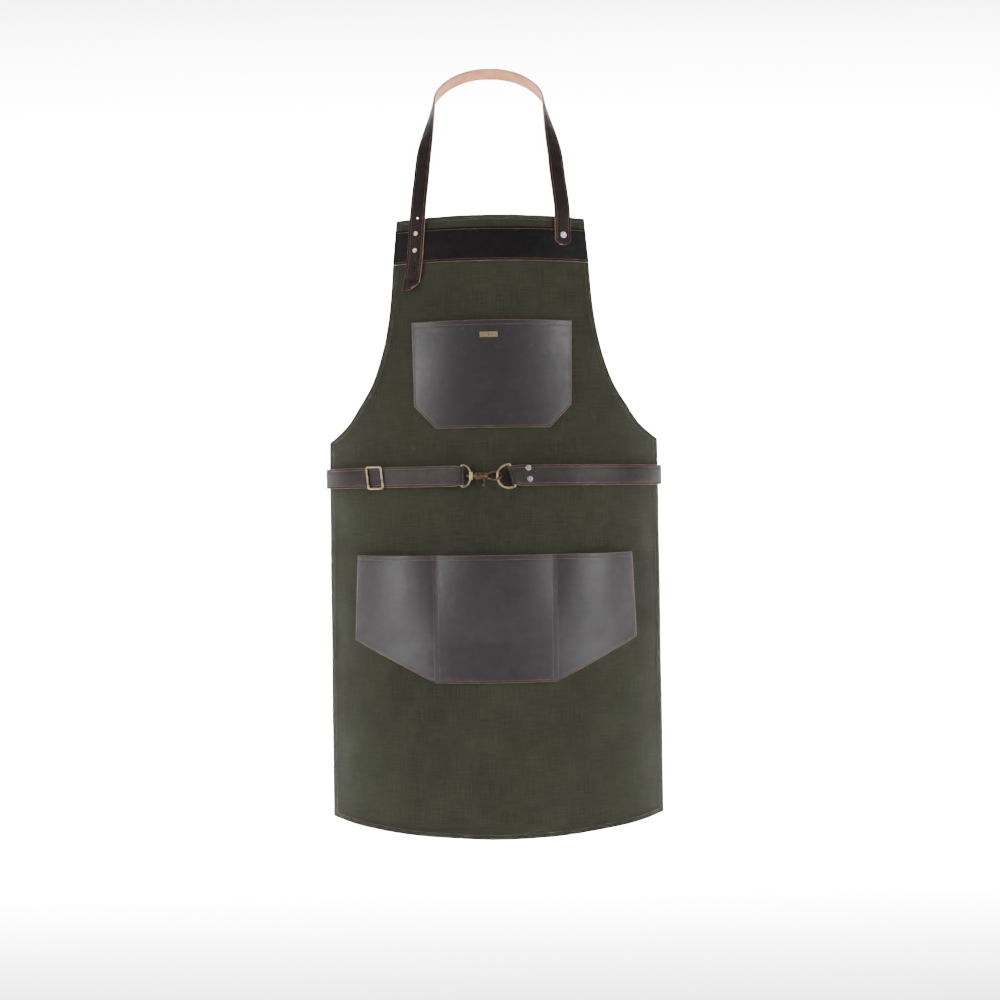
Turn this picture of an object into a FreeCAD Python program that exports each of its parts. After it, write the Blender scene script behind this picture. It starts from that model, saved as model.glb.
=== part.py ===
"""Butcher apron: canvas panel, leather band, pockets and straps, brass hardware.

Millimetres, +Z up. The front faces -Y and +X is the viewer's right. The origin is the neck loop
mount: the middle of the strap's inner side at the back of the neck. The canvas stands curved as it
is worn, a vertical cylinder's sector, and above the belt it leans back.
"""
import FreeCAD, Part
import math
import os

V = FreeCAD.Vector
UP = V(0, 0, 1)

DRIVING = {
    # canvas panel
    "shell_radius": 301.0, "canvas_thickness": 1.0, "front_depth": 190.0, "bib_lean": 0.08,
    "bib_top": -249.0, "bib_corner": -251.5, "bib_half": 140.0, "waist_half": 252.0,
    "waist_corner": -578.0, "hem_half": 254.0, "hem_corner": -1151.0, "hem_middle": -1162.0,
    # leather on the panel
    "band_top": -267.0, "band_bottom": -317.5, "leather": 1.8, "layer_gap": 0.1,
    "chest_mouth": -406.0, "chest_side": -530.0, "chest_bottom": -563.5,
    "chest_top_half": 118.0, "chest_side_half": 115.5, "chest_bottom_half": 83.5,
    "tool_mouth": -749.0, "tool_side": -876.0, "tool_bottom": -934.5,
    "tool_top_half": 205.6, "tool_side_half": 211.3, "tool_bottom_half": 89.0,
    "tool_divider": 86.5, "mouth_gap": 7.0, "seam_gap": 0.2,
    # name plate
    "plate_width": 26.4, "plate_height": 8.0, "plate_thickness": 0.9, "plate_z": -427.6,
    "plate_x": -4.4, "pin_radius": 0.7, "pin_length": 3.0, "pin_inset": 2.2,
    # neck strap
    "neck_width": 25.0, "neck_thickness": 2.4, "neck_half": 88.0, "neck_drop": 66.0, "neck_back": 36.0,
    "loop_tilt": 65.0, "strap_gap": 0.4,
    "hole_radius": 1.6, "hole_pitch": 25.0,
    "stud_radius": 3.6, "stud_height": 2.2, "stud_fillet": 0.9, "stud_post_radius": 1.5,
    "stud_back_radius": 4.0, "stud_back_height": 1.0,
    "neck_rivet_radius": 5.0, "neck_rivet_height": 1.2, "neck_rivet_fillet": 0.6,
    # belt
    "belt_width": 30.0, "belt_thickness": 2.2, "belt_z": -633.5, "sewn_z": -597.5,
    "belt_radius": 305.6, "hardware_gap": 8.0, "wrap_radius": 5.8, "wrap_angle": 56.65,
    "sewn_radius": 16.0, "sewn_length": 45.0, "back_left": 23.0, "back_right": 29.5,
    "fold_tail": 22.0, "fold_slack": 0.5, "fold_pinch": 0.10, "ring_tail": 36.0,
    "belt_rivet_radius": 4.3, "belt_rivet_height": 1.8, "belt_rivet_fillet": 1.2,
    "belt_rivet_back_height": 0.8, "rivet_post_radius": 1.4,
    # slide
    "slide_angle": 34.8, "slide_slant": 4.4, "slide_long": 31.8, "slide_wide": 27.0,
    "slide_wire": 1.6, "slide_corner": 3.0, "slide_bar_width": 5.0, "slide_bar_thickness": 1.4,
    "return_thickness": 2.0, "return_end": 76.0,
    # swivel eye, hook and gate
    "eye_x": -46.4, "eye_wire": 1.3, "eye_half": 15.8, "eye_corner": 1.4, "eye_depth": 13.4,
    "barrel_radius": 3.2, "barrel_length": 12.0, "shaft_radius": 1.3, "shaft_clear": 0.2,
    "shaft_left": -38.5, "shaft_right": -24.0, "shaft_head": 1.9, "hook_twist": 41.0,
    "body_left": -28.4, "body_right": -12.0, "body_half": 4.6, "body_thick": 6.4,
    "hook_x": 1.5, "hook_long": 9.5, "hook_high": 7.8, "hook_wire": 1.45, "nose_angle": -77.0,
    "pivot_x": -11.5, "pivot_w": -3.9, "pivot_ear": 3.0, "pin_wire": 0.9, "fork_gap": 4.0,
    "gate_thick": 2.4, "gate_wire": 1.3, "gate_tip": -90.0, "lever_x": -14.4, "lever_w": -18.0,
    # D-ring
    "ring_x": 27.5, "ring_z": -633.2, "ring_tilt": 14.5, "ring_wire": 1.6, "ring_half": 16.9,
    "ring_corner": 1.7, "ring_reach": 22.4,
}

doc = FreeCAD.newDocument("butcher_apron")
sheet = doc.addObject("Spreadsheet::Sheet", "sizes")
for row, (alias, value) in enumerate(DRIVING.items(), start=1):
    sheet.set("A%d" % row, alias)
    sheet.set("B%d" % row, str(value))
    sheet.setAlias("B%d" % row, alias)
doc.recompute()
size = {alias: float(sheet.get(alias)) for alias in DRIVING}

AXIS_Y = size["shell_radius"] - size["front_depth"]
HARDWARE_Y = -size["front_depth"] - size["hardware_gap"]
HOOK_Z = size["belt_z"]
parts = []


# ---------------------------------------------------------------- helpers

def keep(name, obj):
    """Registers a document object as the sub-part that is written to parts/NAME.step."""
    obj.Label = name
    parts.append((name, obj))
    return obj


def feature(name, shape):
    """A sub-part whose outline is a formula, with its sizes read from the sheet."""
    obj = doc.addObject("Part::Feature", name)
    obj.Shape = shape
    return keep(name, obj)


def bound(kind, name, placement, **cells):
    """A Part primitive with its properties bound to the sheet."""
    obj = doc.addObject(kind, name)
    for prop, expression in cells.items():
        obj.setExpression(prop, expression)
    obj.Placement = placement
    return obj


def facing(point, direction):
    """The placement that puts a shape's own +Z along direction, at point."""
    return FreeCAD.Placement(point, FreeCAD.Rotation(UP, direction))


def lean(z):
    """How far back the bib has leaned at height z."""
    return size["bib_lean"] * max(z - size["belt_z"], 0.0)


def on_shell(x, z, radius):
    """The point at x and z on the canvas's cylinder, drawn at another radius."""
    return V(x, AXIS_Y - math.sqrt(radius ** 2 - x ** 2) + lean(z), z)


def polar(radius, angle, z=0.0):
    """The point at an angle, in radians from the front, about the cylinder's axis."""
    return V(radius * math.sin(angle), AXIS_Y - radius * math.cos(angle), z)


def outward(angle):
    """The direction away from the axis at that angle."""
    return V(math.sin(angle), -math.cos(angle), 0)


def sector(inner, outer, half_angle, low, high, slope):
    """A curved wall between two radii, from low to high, leaning back by slope."""
    edges = []
    for radius, sense in ((outer, 1), (inner, -1)):
        start = polar(radius, -sense * half_angle, low)
        end = polar(radius, sense * half_angle, low)
        edges.append(Part.Arc(start, polar(radius, 0, low), end).toShape())
    edges.insert(1, Part.makeLine(polar(outer, half_angle, low), polar(inner, half_angle, low)))
    edges.append(Part.makeLine(polar(inner, -half_angle, low), polar(outer, -half_angle, low)))
    face = Part.Face(Part.Wire(edges))
    height = high - low
    face.translate(V(0, lean(low), 0))
    return face.extrude(V(0, slope * height, height))


def slab(wire):
    """A front outline drawn in the XZ plane, made deep enough to cut any layer."""
    depth = 500.0
    face = Part.Face(wire)
    face.translate(V(0, -depth / 2, 0))
    return face.extrude(V(0, depth, 0))


def panel_outline():
    """The canvas's front outline: crowned top, armhole curves, straight sides and a bowed hem."""
    armhole = [(size["bib_half"], size["bib_corner"]), (146, -317), (156, -415), (170, -469),
               (183, -500), (200, -526), (220, -553.5), (size["waist_half"], size["waist_corner"])]
    right = [V(x, 0, z) for x, z in armhole]
    left = [V(-x, 0, z) for x, z in armhole]
    hem_right = V(size["hem_half"], 0, size["hem_corner"])
    hem_left = V(-size["hem_half"], 0, size["hem_corner"])
    edges = [Part.Arc(left[0], V(0, 0, size["bib_top"]), right[0]).toShape()]
    for points, corner in ((right, hem_right), (left, hem_left)):
        side = Part.BSplineCurve()
        side.interpolate(points[1:])
        edges.append(Part.makeLine(points[0], points[1]))
        edges.append(side.toShape())
        edges.append(Part.makeLine(points[-1], corner))
    edges.append(Part.Arc(hem_left, V(0, 0, size["hem_middle"]), hem_right).toShape())
    return Part.Wire(Part.__sortEdges__(edges))


def ribbon(stations, width, thickness):
    """A strap: flat sections, each (point, outward normal, width direction), joined in turn."""
    sections = []
    for point, normal, along in stations:
        half_width = along * (width / 2)
        half_thick = normal * (thickness / 2)
        corners = [point + half_width + half_thick, point + half_width - half_thick,
                   point - half_width - half_thick, point - half_width + half_thick]
        sections.append(Part.makePolygon(corners + corners[:1]))
    return Part.makeLoft(sections, True, True)


def smooth(share):
    """Eases 0 to 1 with level ends."""
    share = min(max(share, 0.0), 1.0)
    return share * share * (3 - 2 * share)


def round_wire(path, radius):
    """A round wire along a path of smoothly joined edges."""
    first = path[0]
    start = first.valueAt(first.FirstParameter)
    heading = first.tangentAt(first.FirstParameter)
    profile = Part.Wire(Part.makeCircle(radius, start, heading))
    return Part.Wire(path).makePipeShell([profile], True, False)


# ---------------------------------------------------------------- cloth and leather on the panel

def make_panel():
    outer = size["shell_radius"]
    inner = outer - size["canvas_thickness"]
    half_angle = math.asin(size["hem_half"] / inner) + 0.02
    skirt = sector(inner, outer, half_angle, size["hem_middle"] - 1, size["belt_z"], 0)
    bib = sector(inner, outer, half_angle, size["belt_z"], size["bib_top"] + 1, size["bib_lean"])
    front = slab(panel_outline())
    edges = (-400.0, -90.0, 90.0, 400.0)
    pieces = [skirt.common(front)]
    for left, right in zip(edges, edges[1:]):
        width = Part.makeBox(right - left, 600, 1300, V(left, -300, -1200))
        piece = bib.common(front).common(width)
        for drill in strap_drills():
            if left < drill.BoundBox.Center.x < right:
                piece = piece.cut(drill)
        pieces.append(piece)
    feature("apron_panel", pieces[0].fuse(pieces[1:]).Solids[0])


def make_band():
    inner = size["shell_radius"] + size["layer_gap"]
    half_angle = math.asin(size["bib_half"] / inner) + 0.1
    wall = sector(inner, inner + size["leather"], half_angle, size["band_bottom"],
                  size["band_top"], size["bib_lean"])
    drilled = wall.common(slab(panel_outline()))
    for drill in strap_drills():
        drilled = drilled.cut(drill)
    feature("bib_band", drilled.Solids[0])


def pocket_wire(z, joints, gap):
    """A pocket's level section: it meets the canvas at each joint and stands off by gap between."""
    radius = size["shell_radius"] + size["seam_gap"]
    shift = V(0, lean(z), 0)
    angles = [math.asin(x / radius) for x in joints]
    pairs = list(zip(angles, angles[1:]))
    inner, outer = [], []
    for start, end in pairs:
        middle = (start + end) / 2
        for rows, offset in ((inner, 0.0), (outer, size["leather"])):
            ends = (polar(radius + offset, start, z), polar(radius + offset, end, z))
            top = polar(radius + offset + gap, middle, z)
            rows.append(Part.Arc(ends[0] + shift, top + shift, ends[1] + shift).toShape())
    side_a = Part.makeLine(inner[0].Vertexes[0].Point, outer[0].Vertexes[0].Point)
    side_b = Part.makeLine(inner[-1].Vertexes[-1].Point, outer[-1].Vertexes[-1].Point)
    return Part.Wire(Part.__sortEdges__(inner + [side_b] + outer + [side_a]))


def pocket_solid(levels):
    """A pocket front through (z, joints, gap) sections, from its mouth to its bottom."""
    return Part.makeLoft([pocket_wire(*level) for level in levels], True, True)


def make_chest_pocket():
    top, side, low = size["chest_top_half"], size["chest_side_half"], size["chest_bottom_half"]
    levels = [(size["chest_mouth"], (-top, top), size["mouth_gap"]),
              (size["chest_side"], (-top, top), 0.3), (size["chest_bottom"], (-top, top), 0.02)]
    corners = [V(-top, 0, size["chest_mouth"]), V(-side, 0, size["chest_side"]),
               V(-low, 0, size["chest_bottom"]), V(low, 0, size["chest_bottom"]),
               V(side, 0, size["chest_side"]), V(top, 0, size["chest_mouth"])]
    leather = pocket_solid(levels).common(slab(Part.makePolygon(corners + corners[:1])))
    drills = [Part.makeCylinder(size["pin_radius"], size["pin_length"] + 2, start, inward)
              for start, inward in plate_pins()]
    feature("chest_pocket", leather.cut(Part.makeCompound(drills)).Solids[0])


def make_tool_pocket():
    top, side, low = size["tool_top_half"], size["tool_side_half"], size["tool_bottom_half"]
    divider, gap = size["tool_divider"], size["mouth_gap"]
    upper = pocket_solid([(size["tool_mouth"], (-top, -divider, divider, top), gap),
                          (size["tool_side"], (-side, -divider, divider, side), 0.02)])
    lower = pocket_solid([(size["tool_side"], (-side, -divider, divider, side), 0.02),
                          (size["tool_bottom"], (-side, -divider, divider, side), 0.02)])
    corners = [V(-side - 1, 0, size["tool_side"]), V(-low, 0, size["tool_bottom"]),
               V(low, 0, size["tool_bottom"]), V(side + 1, 0, size["tool_side"])]
    cut = slab(Part.makePolygon(corners + corners[:1]))
    feature("tool_pocket", upper.fuse(lower.common(cut)).Solids[0])


def chest_front(z):
    """The chest pocket's front surface on its middle line."""
    share = (z - size["chest_side"]) / (size["chest_mouth"] - size["chest_side"])
    gap = 0.3 + share * (size["mouth_gap"] - 0.3)
    return AXIS_Y - (size["shell_radius"] + size["seam_gap"] + size["leather"] + gap) + lean(z)


def plate_frame():
    """The middle of the name plate's back, and the turn that lays it on the pocket."""
    rise = 10.0
    high, low = chest_front(size["plate_z"] + rise), chest_front(size["plate_z"] - rise)
    tilt = FreeCAD.Rotation(V(1, 0, 0), -math.degrees(math.atan2(high - low, 2 * rise)))
    middle = V(size["plate_x"], chest_front(size["plate_z"]) - 0.05, size["plate_z"])
    return middle, tilt


def plate_pins():
    """(start, inward direction) of the two pins that hold the name plate."""
    middle, tilt = plate_frame()
    reach = size["plate_width"] / 2 - size["pin_inset"]
    front = -size["plate_thickness"] - 0.3
    return [(middle + tilt.multVec(V(offset, front, 0)), tilt.multVec(V(0, 1, 0)))
            for offset in (-reach, reach)]


def make_name_plate():
    middle, tilt = plate_frame()
    corner = V(-size["plate_width"] / 2, -size["plate_thickness"], -size["plate_height"] / 2)
    plate = bound("Part::Box", "plate_blank", FreeCAD.Placement(middle + tilt.multVec(corner), tilt),
                  Length="sizes.plate_width", Width="sizes.plate_thickness",
                  Height="sizes.plate_height")
    pins = [bound("Part::Cylinder", "plate_pin_%d" % count, facing(start, inward),
                  Radius="sizes.pin_radius", Height="sizes.pin_length")
            for count, (start, inward) in enumerate(plate_pins(), start=1)]
    bored = doc.addObject("Part::Cut", "name_plate")
    bored.Base = plate
    bored.Tool = group("name_plate_pins", pins)
    keep("name_plate", bored)


# ---------------------------------------------------------------- neck strap

def strap_radius():
    """The neck strap's middle surface where it lies on the band."""
    step = size["layer_gap"] + size["leather"] + size["strap_gap"]
    return size["shell_radius"] + step + size["neck_thickness"] / 2


def neck_path(side):
    """One half of the strap, from its lower end to the back: (point, share of the twist)."""
    radius = strap_radius()
    if side < 0:
        lower = [(119.5, -359.0), (114.5, -330.0), (111.0, -300.0), (109.0, -270.0), (106.5, -240.0)]
    else:
        lower = [(107.3, -293.0), (107.3, -270.0), (106.6, -240.0)]
    path = [(on_shell(side * x, z, radius), 0.0) for x, z in lower]
    rising = [(104.4, 9.0, -214.0, 0.0), (101.6, 21.0, -186.0, 0.02), (99.8, 37.0, -160.0, 0.05),
              (97.4, 56.0, -134.0, 0.12), (94.3, 75.0, -110.0, 0.32), (91.3, 92.0, -88.0, 0.53)]
    front = path[-1][0].y
    for x, back, z, twist in rising:
        path.append((V(side * x, front + back, z), twist))
    half, drop, depth = size["neck_half"], size["neck_drop"], size["neck_back"]
    for degrees, twist in ((90, 0.72), (76, 0.92), (62, 1.0), (48, 1.0), (34, 1.0), (20, 1.0),
                           (8, 1.0)):
        angle = math.radians(degrees)
        fall = 1 - math.cos(angle)
        path.append((V(side * half * math.sin(angle), -depth * fall, -drop * fall), twist))
    return path


def neck_stations(side):
    """Sections of one half of the strap, fitted to its path."""
    path = neck_path(side)
    curve = Part.BSplineCurve()
    curve.interpolate([point for point, twist in path])
    loop_tilt = math.radians(size["loop_tilt"])
    across_back = V(0, -math.sin(loop_tilt), math.cos(loop_tilt))
    angle = math.asin(path[3 if side < 0 else 1][0].x / strap_radius())
    across_bib = V(-side * math.cos(angle), -side * math.sin(angle), 0)
    knots = [curve.parameter(point) for point, twist in path]
    stations = []
    steps = 3
    for index in range(len(path) - 1):
        for step in range(steps):
            share = step / steps
            at = knots[index] + (knots[index + 1] - knots[index]) * share
            turn = path[index][1] + (path[index + 1][1] - path[index][1]) * share
            stations.append(neck_section(curve, at, turn, side, across_bib, across_back))
    stations.append(neck_section(curve, knots[-1], 1.0, side, across_bib, across_back))
    return stations


def neck_section(curve, at, turn, side, across_bib, across_back):
    """(point, outward normal, direction to the inner edge) at one place on the strap."""
    heading = V(*curve.tangent(at)[0])
    angle = turn * math.pi / 2
    across = across_bib * math.cos(angle) + across_back * math.sin(angle)
    across = across - heading * across.dot(heading)
    across.normalize()
    normal = across.cross(heading) * side
    return curve.value(at), normal, across


def make_neck_strap():
    left = neck_stations(-1)
    right = neck_stations(1)
    stations = left + right[::-1]
    shape = ribbon(stations, size["neck_width"], size["neck_thickness"])
    holes = [cylinder_at(place, size["hole_radius"]) for place in hole_places()]
    drills = Part.makeCompound(holes + strap_drills())
    feature("neck_strap", shape.cut(drills).Solids[0])


def tail_place(x, z):
    """(point, outward direction) on the outer face of the strap where it lies on the bib."""
    radius = strap_radius() + size["neck_thickness"] / 2
    angle = math.asin(x / radius)
    normal = outward(angle) + UP * (size["bib_lean"] * math.cos(angle))
    normal.normalize()
    return on_shell(x, z, radius), normal


def level(place):
    """The same place with its direction made level, as the shanks and drills go."""
    point, direction = place
    flat = V(direction.x, direction.y, 0)
    flat.normalize()
    return point, flat


def stud_places():
    return [tail_place(-109.6, -273.6), tail_place(-111.3, -298.7)]


def hole_places():
    """The tail's free holes, about one pitch apart above and below the two studs."""
    pitch = size["hole_pitch"]
    return [tail_place(-107.6, -273.6 + 0.9 * pitch), tail_place(-113.6, -298.7 - pitch),
            tail_place(-116.6, -298.7 - 1.8 * pitch)]


def neck_rivet_place():
    return tail_place(107.8, -278.7)


def cylinder_at(place, radius):
    """A drill through every layer at a place."""
    point, direction = level(place)
    depth = 12.0
    return Part.makeCylinder(radius, 2 * depth, point - direction * depth, direction)


def button(name, place, lift, radius, height, fillet):
    """A round head standing on a surface, with its outer edge rounded over."""
    point, direction = place
    blank = bound("Part::Cylinder", name + "_blank", facing(point + direction * lift, direction),
                  Radius="sizes." + radius, Height="sizes." + height)
    doc.recompute()
    head = doc.addObject("Part::Fillet", name)
    head.Base = blank
    top = [index for index, edge in enumerate(blank.Shape.Edges, start=1)
           if edge.Closed and (edge.CenterOfMass - point).dot(direction) > lift + size[height] / 2]
    head.Edges = [(top[0], size[fillet], size[fillet])]
    return head


def post(name, place, lift, length, radius):
    """A shank that goes inwards from a place, starting lift above it."""
    point, direction = place
    start = point + direction * lift
    obj = bound("Part::Cylinder", name, facing(start, direction * -1), Radius="sizes." + radius)
    obj.Height = length
    return obj


def group(name, members):
    """Several separate solids of the same kind in one node."""
    obj = doc.addObject("Part::Compound", name)
    obj.Links = members
    return keep(name, obj)


def through_canvas():
    """From the strap's outer face to the canvas's back."""
    return strap_radius() + size["neck_thickness"] / 2 - size["shell_radius"] + size["canvas_thickness"]


def backed(name, place, thickness, slack, radius, back_radius, back_height):
    """A shank with a flat back flange, from a place to just behind the layers."""
    point, direction = place
    rear = point - direction * (thickness + slack)
    shank = post(name + "_shank", place, -0.2, thickness + slack, radius)
    flange = bound("Part::Cylinder", name + "_flange", facing(rear, direction * -1),
                   Radius="sizes." + back_radius, Height="sizes." + back_height)
    joined = doc.addObject("Part::Fuse", name)
    joined.Base = shank
    joined.Tool = flange
    return joined


def strap_drills():
    """The holes that the studs' and the neck rivet's shanks need, through every layer."""
    snug = 0.05
    drills = [cylinder_at(place, size["stud_post_radius"] + snug) for place in stud_places()]
    drills.append(cylinder_at(neck_rivet_place(), size["rivet_post_radius"] + snug))
    return drills


def make_studs():
    heads = []
    screws = []
    for count, place in enumerate(stud_places(), start=1):
        head = button("stud_head_%d" % count, place, 0.05, "stud_radius", "stud_height",
                      "stud_fillet")
        slot = Part.makeBox(0.9, 2 * size["stud_radius"] + 2, 1.0)
        slot.translate(V(-0.45, -size["stud_radius"] - 1, size["stud_height"] - 0.7))
        slot.Placement = facing(place[0] + place[1] * 0.05, place[1]).multiply(slot.Placement)
        cutter = doc.addObject("Part::Feature", "stud_slot_%d" % count)
        cutter.Shape = slot
        slotted = doc.addObject("Part::Cut", "stud_slotted_%d" % count)
        slotted.Base = head
        slotted.Tool = cutter
        heads.append(slotted)
        screws.append(backed("stud_screw_%d" % count, level(place), through_canvas(), 0.7,
                             "stud_post_radius", "stud_back_radius", "stud_back_height"))
    group("stud_heads", heads)
    group("stud_screws", screws)


def make_neck_rivet():
    place = neck_rivet_place()
    keep("neck_rivet_cap", button("neck_rivet_cap", place, 0.05, "neck_rivet_radius",
                                  "neck_rivet_height", "neck_rivet_fillet"))
    keep("neck_rivet_post", backed("neck_rivet_post", level(place), through_canvas(), 0.7,
                                   "rivet_post_radius", "stud_back_radius", "stud_back_height"))


# ---------------------------------------------------------------- belt straps

def arc_stations(centre, radius, start, end, count, along=UP):
    """Stations round a vertical arc; angles are of the outward normal, in radians from -Y."""
    rows = []
    for index in range(count + 1):
        angle = start + (end - start) * index / count
        normal = outward(angle)
        rows.append((centre + normal * radius, normal, along))
    return rows


def belt_run(side, fold, fold_radius, tail, slant, back_y):
    """One belt strap, from its folded tail round the front, the canvas's edge and the back."""
    mid = size["belt_radius"]
    axis = V(0, AXIS_Y, size["belt_z"])
    reach = (fold - axis).Length
    lifted = math.asin((fold.x * side) / reach) + math.acos((mid - fold_radius) / reach)
    normal = outward(side * lifted)
    run = V(side * math.cos(lifted), math.sin(lifted), 0)
    apart = size["belt_thickness"] + 0.15
    settle = 14.0
    lap = 4

    def across(share):
        """The width direction: narrowed and leaning with the bar at the fold, upright beyond it."""
        eased = 1 - smooth(share)
        return V(-math.tan(math.radians(slant)) * eased, 0, 1) * (1 - size["fold_pinch"] * eased)

    inner = fold - normal * (apart - fold_radius)
    stations = [(inner + run * tail, normal * -1, UP)]
    for step in range(lap, 0, -1):
        share = step / lap
        offset = fold_radius + (apart - 2 * fold_radius) * smooth(share)
        stations.append((fold - normal * offset + run * (settle * share), normal * -1,
                         across(share)))
    turn = side * lifted
    stations += arc_stations(fold, fold_radius, turn - side * math.pi, turn, 12, across(0))
    outer = fold + normal * fold_radius
    for step in range(1, lap + 1):
        share = step / lap
        stations.append((outer + run * (settle * share), normal, across(share)))
    end = side * math.radians(size["wrap_angle"])
    stations += arc_stations(axis, mid, turn, end, 22)
    return stations + back_run(side, end, back_y)


def back_run(side, end, back_y):
    """Round the canvas's edge, across the back with a drop, and in under the far corner."""
    wrap, tuck = size["wrap_radius"], size["sewn_radius"]
    hub = V(0, AXIS_Y, size["belt_z"]) + outward(end) * (size["belt_radius"] - wrap)
    inset = back_y - wrap
    centre_y = (inset ** 2 - hub.x ** 2 - hub.y ** 2) / (2 * (inset - hub.y))
    radius = back_y - centre_y
    centre = V(0, centre_y, size["belt_z"])
    away = hub - centre
    leave = math.pi - math.asin(abs(away.x) / away.Length)
    if away.y < 0:
        leave = math.asin(abs(away.x) / away.Length)
    rows = arc_stations(hub, wrap, end, side * leave, 10)[1:]
    sewn_mid = size["shell_radius"] - size["canvas_thickness"] - 0.6 - size["belt_thickness"] / 2
    gap = AXIS_Y - centre_y
    inner = sewn_mid - tuck
    cosine = (inner ** 2 + gap ** 2 - (radius - tuck) ** 2) / (2 * inner * gap)
    sewn = math.acos(cosine)
    far_hub = polar(inner, -side * sewn, size["belt_z"])
    toward = far_hub - centre
    arrive = 2 * math.pi - math.acos(-toward.y / toward.Length)
    back = arc_stations(centre, radius, side * leave, side * arrive, 26)[1:]
    tucked = arc_stations(far_hub, tuck, side * arrive, side * (2 * math.pi - sewn), 10)[1:]
    span = size["sewn_length"] / sewn_mid
    flat = [(polar(sewn_mid, -side * angle, size["belt_z"]), outward(-side * angle), UP)
            for angle in (sewn - span * step / 4 for step in range(1, 5))]
    drop = size["sewn_z"] - size["belt_z"]
    moved = []
    for index, (point, normal, along) in enumerate(back + tucked + flat, start=1):
        eased = smooth(index / len(back))
        rise = drop * eased
        shift = V(0, lean(size["belt_z"] + rise), rise)
        moved.append((point + shift, normal, V(0, size["bib_lean"] * eased, 1)))
    return rows + moved


def left_fold():
    return V(size["eye_x"], HARDWARE_Y, size["belt_z"])


def right_fold():
    """Where the ring's leaning bar passes the belt's middle height."""
    aside = (size["ring_z"] - size["belt_z"]) * math.tan(math.radians(size["ring_tilt"]))
    return V(size["ring_x"] + aside, HARDWARE_Y, size["belt_z"])


def fold_radius(wire):
    return size[wire] + size["fold_slack"] + size["belt_thickness"] / 2


def right_stations():
    return belt_run(1, right_fold(), fold_radius("ring_wire"), size["ring_tail"],
                    size["ring_tilt"], size["back_right"])


def left_stations():
    return belt_run(-1, left_fold(), fold_radius("eye_wire"), size["fold_tail"], 0.0,
                    size["back_left"])


def straight_place(fold, radius, x, z):
    """(point, direction) on the outer face of a strap's straight run beside its fold."""
    reach = math.hypot(fold.x, fold.y - AXIS_Y)
    lifted = math.asin(abs(fold.x) / reach) + math.acos((size["belt_radius"] - radius) / reach)
    side = math.copysign(1, fold.x)
    normal = outward(side * lifted)
    start = fold + normal * (radius + size["belt_thickness"] / 2)
    run = V(side * math.cos(lifted), math.sin(lifted), 0)
    point = start + run * (abs(x - start.x) / math.cos(lifted))
    return V(point.x, point.y, z), normal


def belt_rivet_places():
    radius = fold_radius("ring_wire")
    return [straight_place(right_fold(), radius, 50.0, -622.8),
            straight_place(right_fold(), radius, 52.5, -638.8)]


def make_belts():
    feature("belt_left", ribbon(left_stations(), size["belt_width"], size["belt_thickness"]))
    strap = ribbon(right_stations(), size["belt_width"], size["belt_thickness"])
    drill = Part.makeCompound([cylinder_at(spot, size["rivet_post_radius"] + 0.05)
                               for spot in belt_rivet_places()])
    feature("belt_right", strap.cut(drill).Solids[0])
    caps = []
    posts = []
    layers = 2 * size["belt_thickness"] + 0.15
    for count, place in enumerate(belt_rivet_places(), start=1):
        caps.append(button("belt_rivet_cap_%d" % count, place, 0.05, "belt_rivet_radius",
                           "belt_rivet_height", "belt_rivet_fillet"))
        posts.append(backed("belt_rivet_post_%d" % count, place, layers, 0.1, "rivet_post_radius",
                            "belt_rivet_radius", "belt_rivet_back_height"))
    group("belt_rivet_caps", caps)
    group("belt_rivet_posts", posts)


# ---------------------------------------------------------------- slide on the left strap

def slide_frame_placement():
    """The slide's own axes: x along the belt, y up, z outward, on the strap's outer face."""
    angle = -math.radians(size["slide_angle"])
    lift = size["belt_radius"] + size["belt_thickness"] / 2 + size["slide_wire"] + 0.55
    along = V(math.cos(angle), math.sin(angle), 0)
    turn = FreeCAD.Rotation(along, UP, outward(angle), "ZXY")
    return FreeCAD.Placement(polar(lift, angle, size["belt_z"] - 0.3), turn)


def rounded_loop(corners, radius):
    """The edges of a closed outline whose corners are rounded, in order."""
    edges = []
    count = len(corners)
    starts, ends = [], []
    for index, corner in enumerate(corners):
        before = corners[index - 1] - corner
        after = corners[(index + 1) % count] - corner
        before.normalize()
        after.normalize()
        half_turn = before.getAngle(after) / 2
        back_off = radius / math.tan(half_turn)
        middle = before + after
        middle.normalize()
        crown = corner + middle * (radius / math.sin(half_turn) - radius)
        starts.append(corner + before * back_off)
        ends.append(corner + after * back_off)
        edges.append(Part.Arc(starts[-1], crown, ends[-1]).toShape())
    joined = []
    for index, edge in enumerate(edges):
        joined.append(edge)
        joined.append(Part.makeLine(ends[index], starts[(index + 1) % count]))
    return joined


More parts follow.
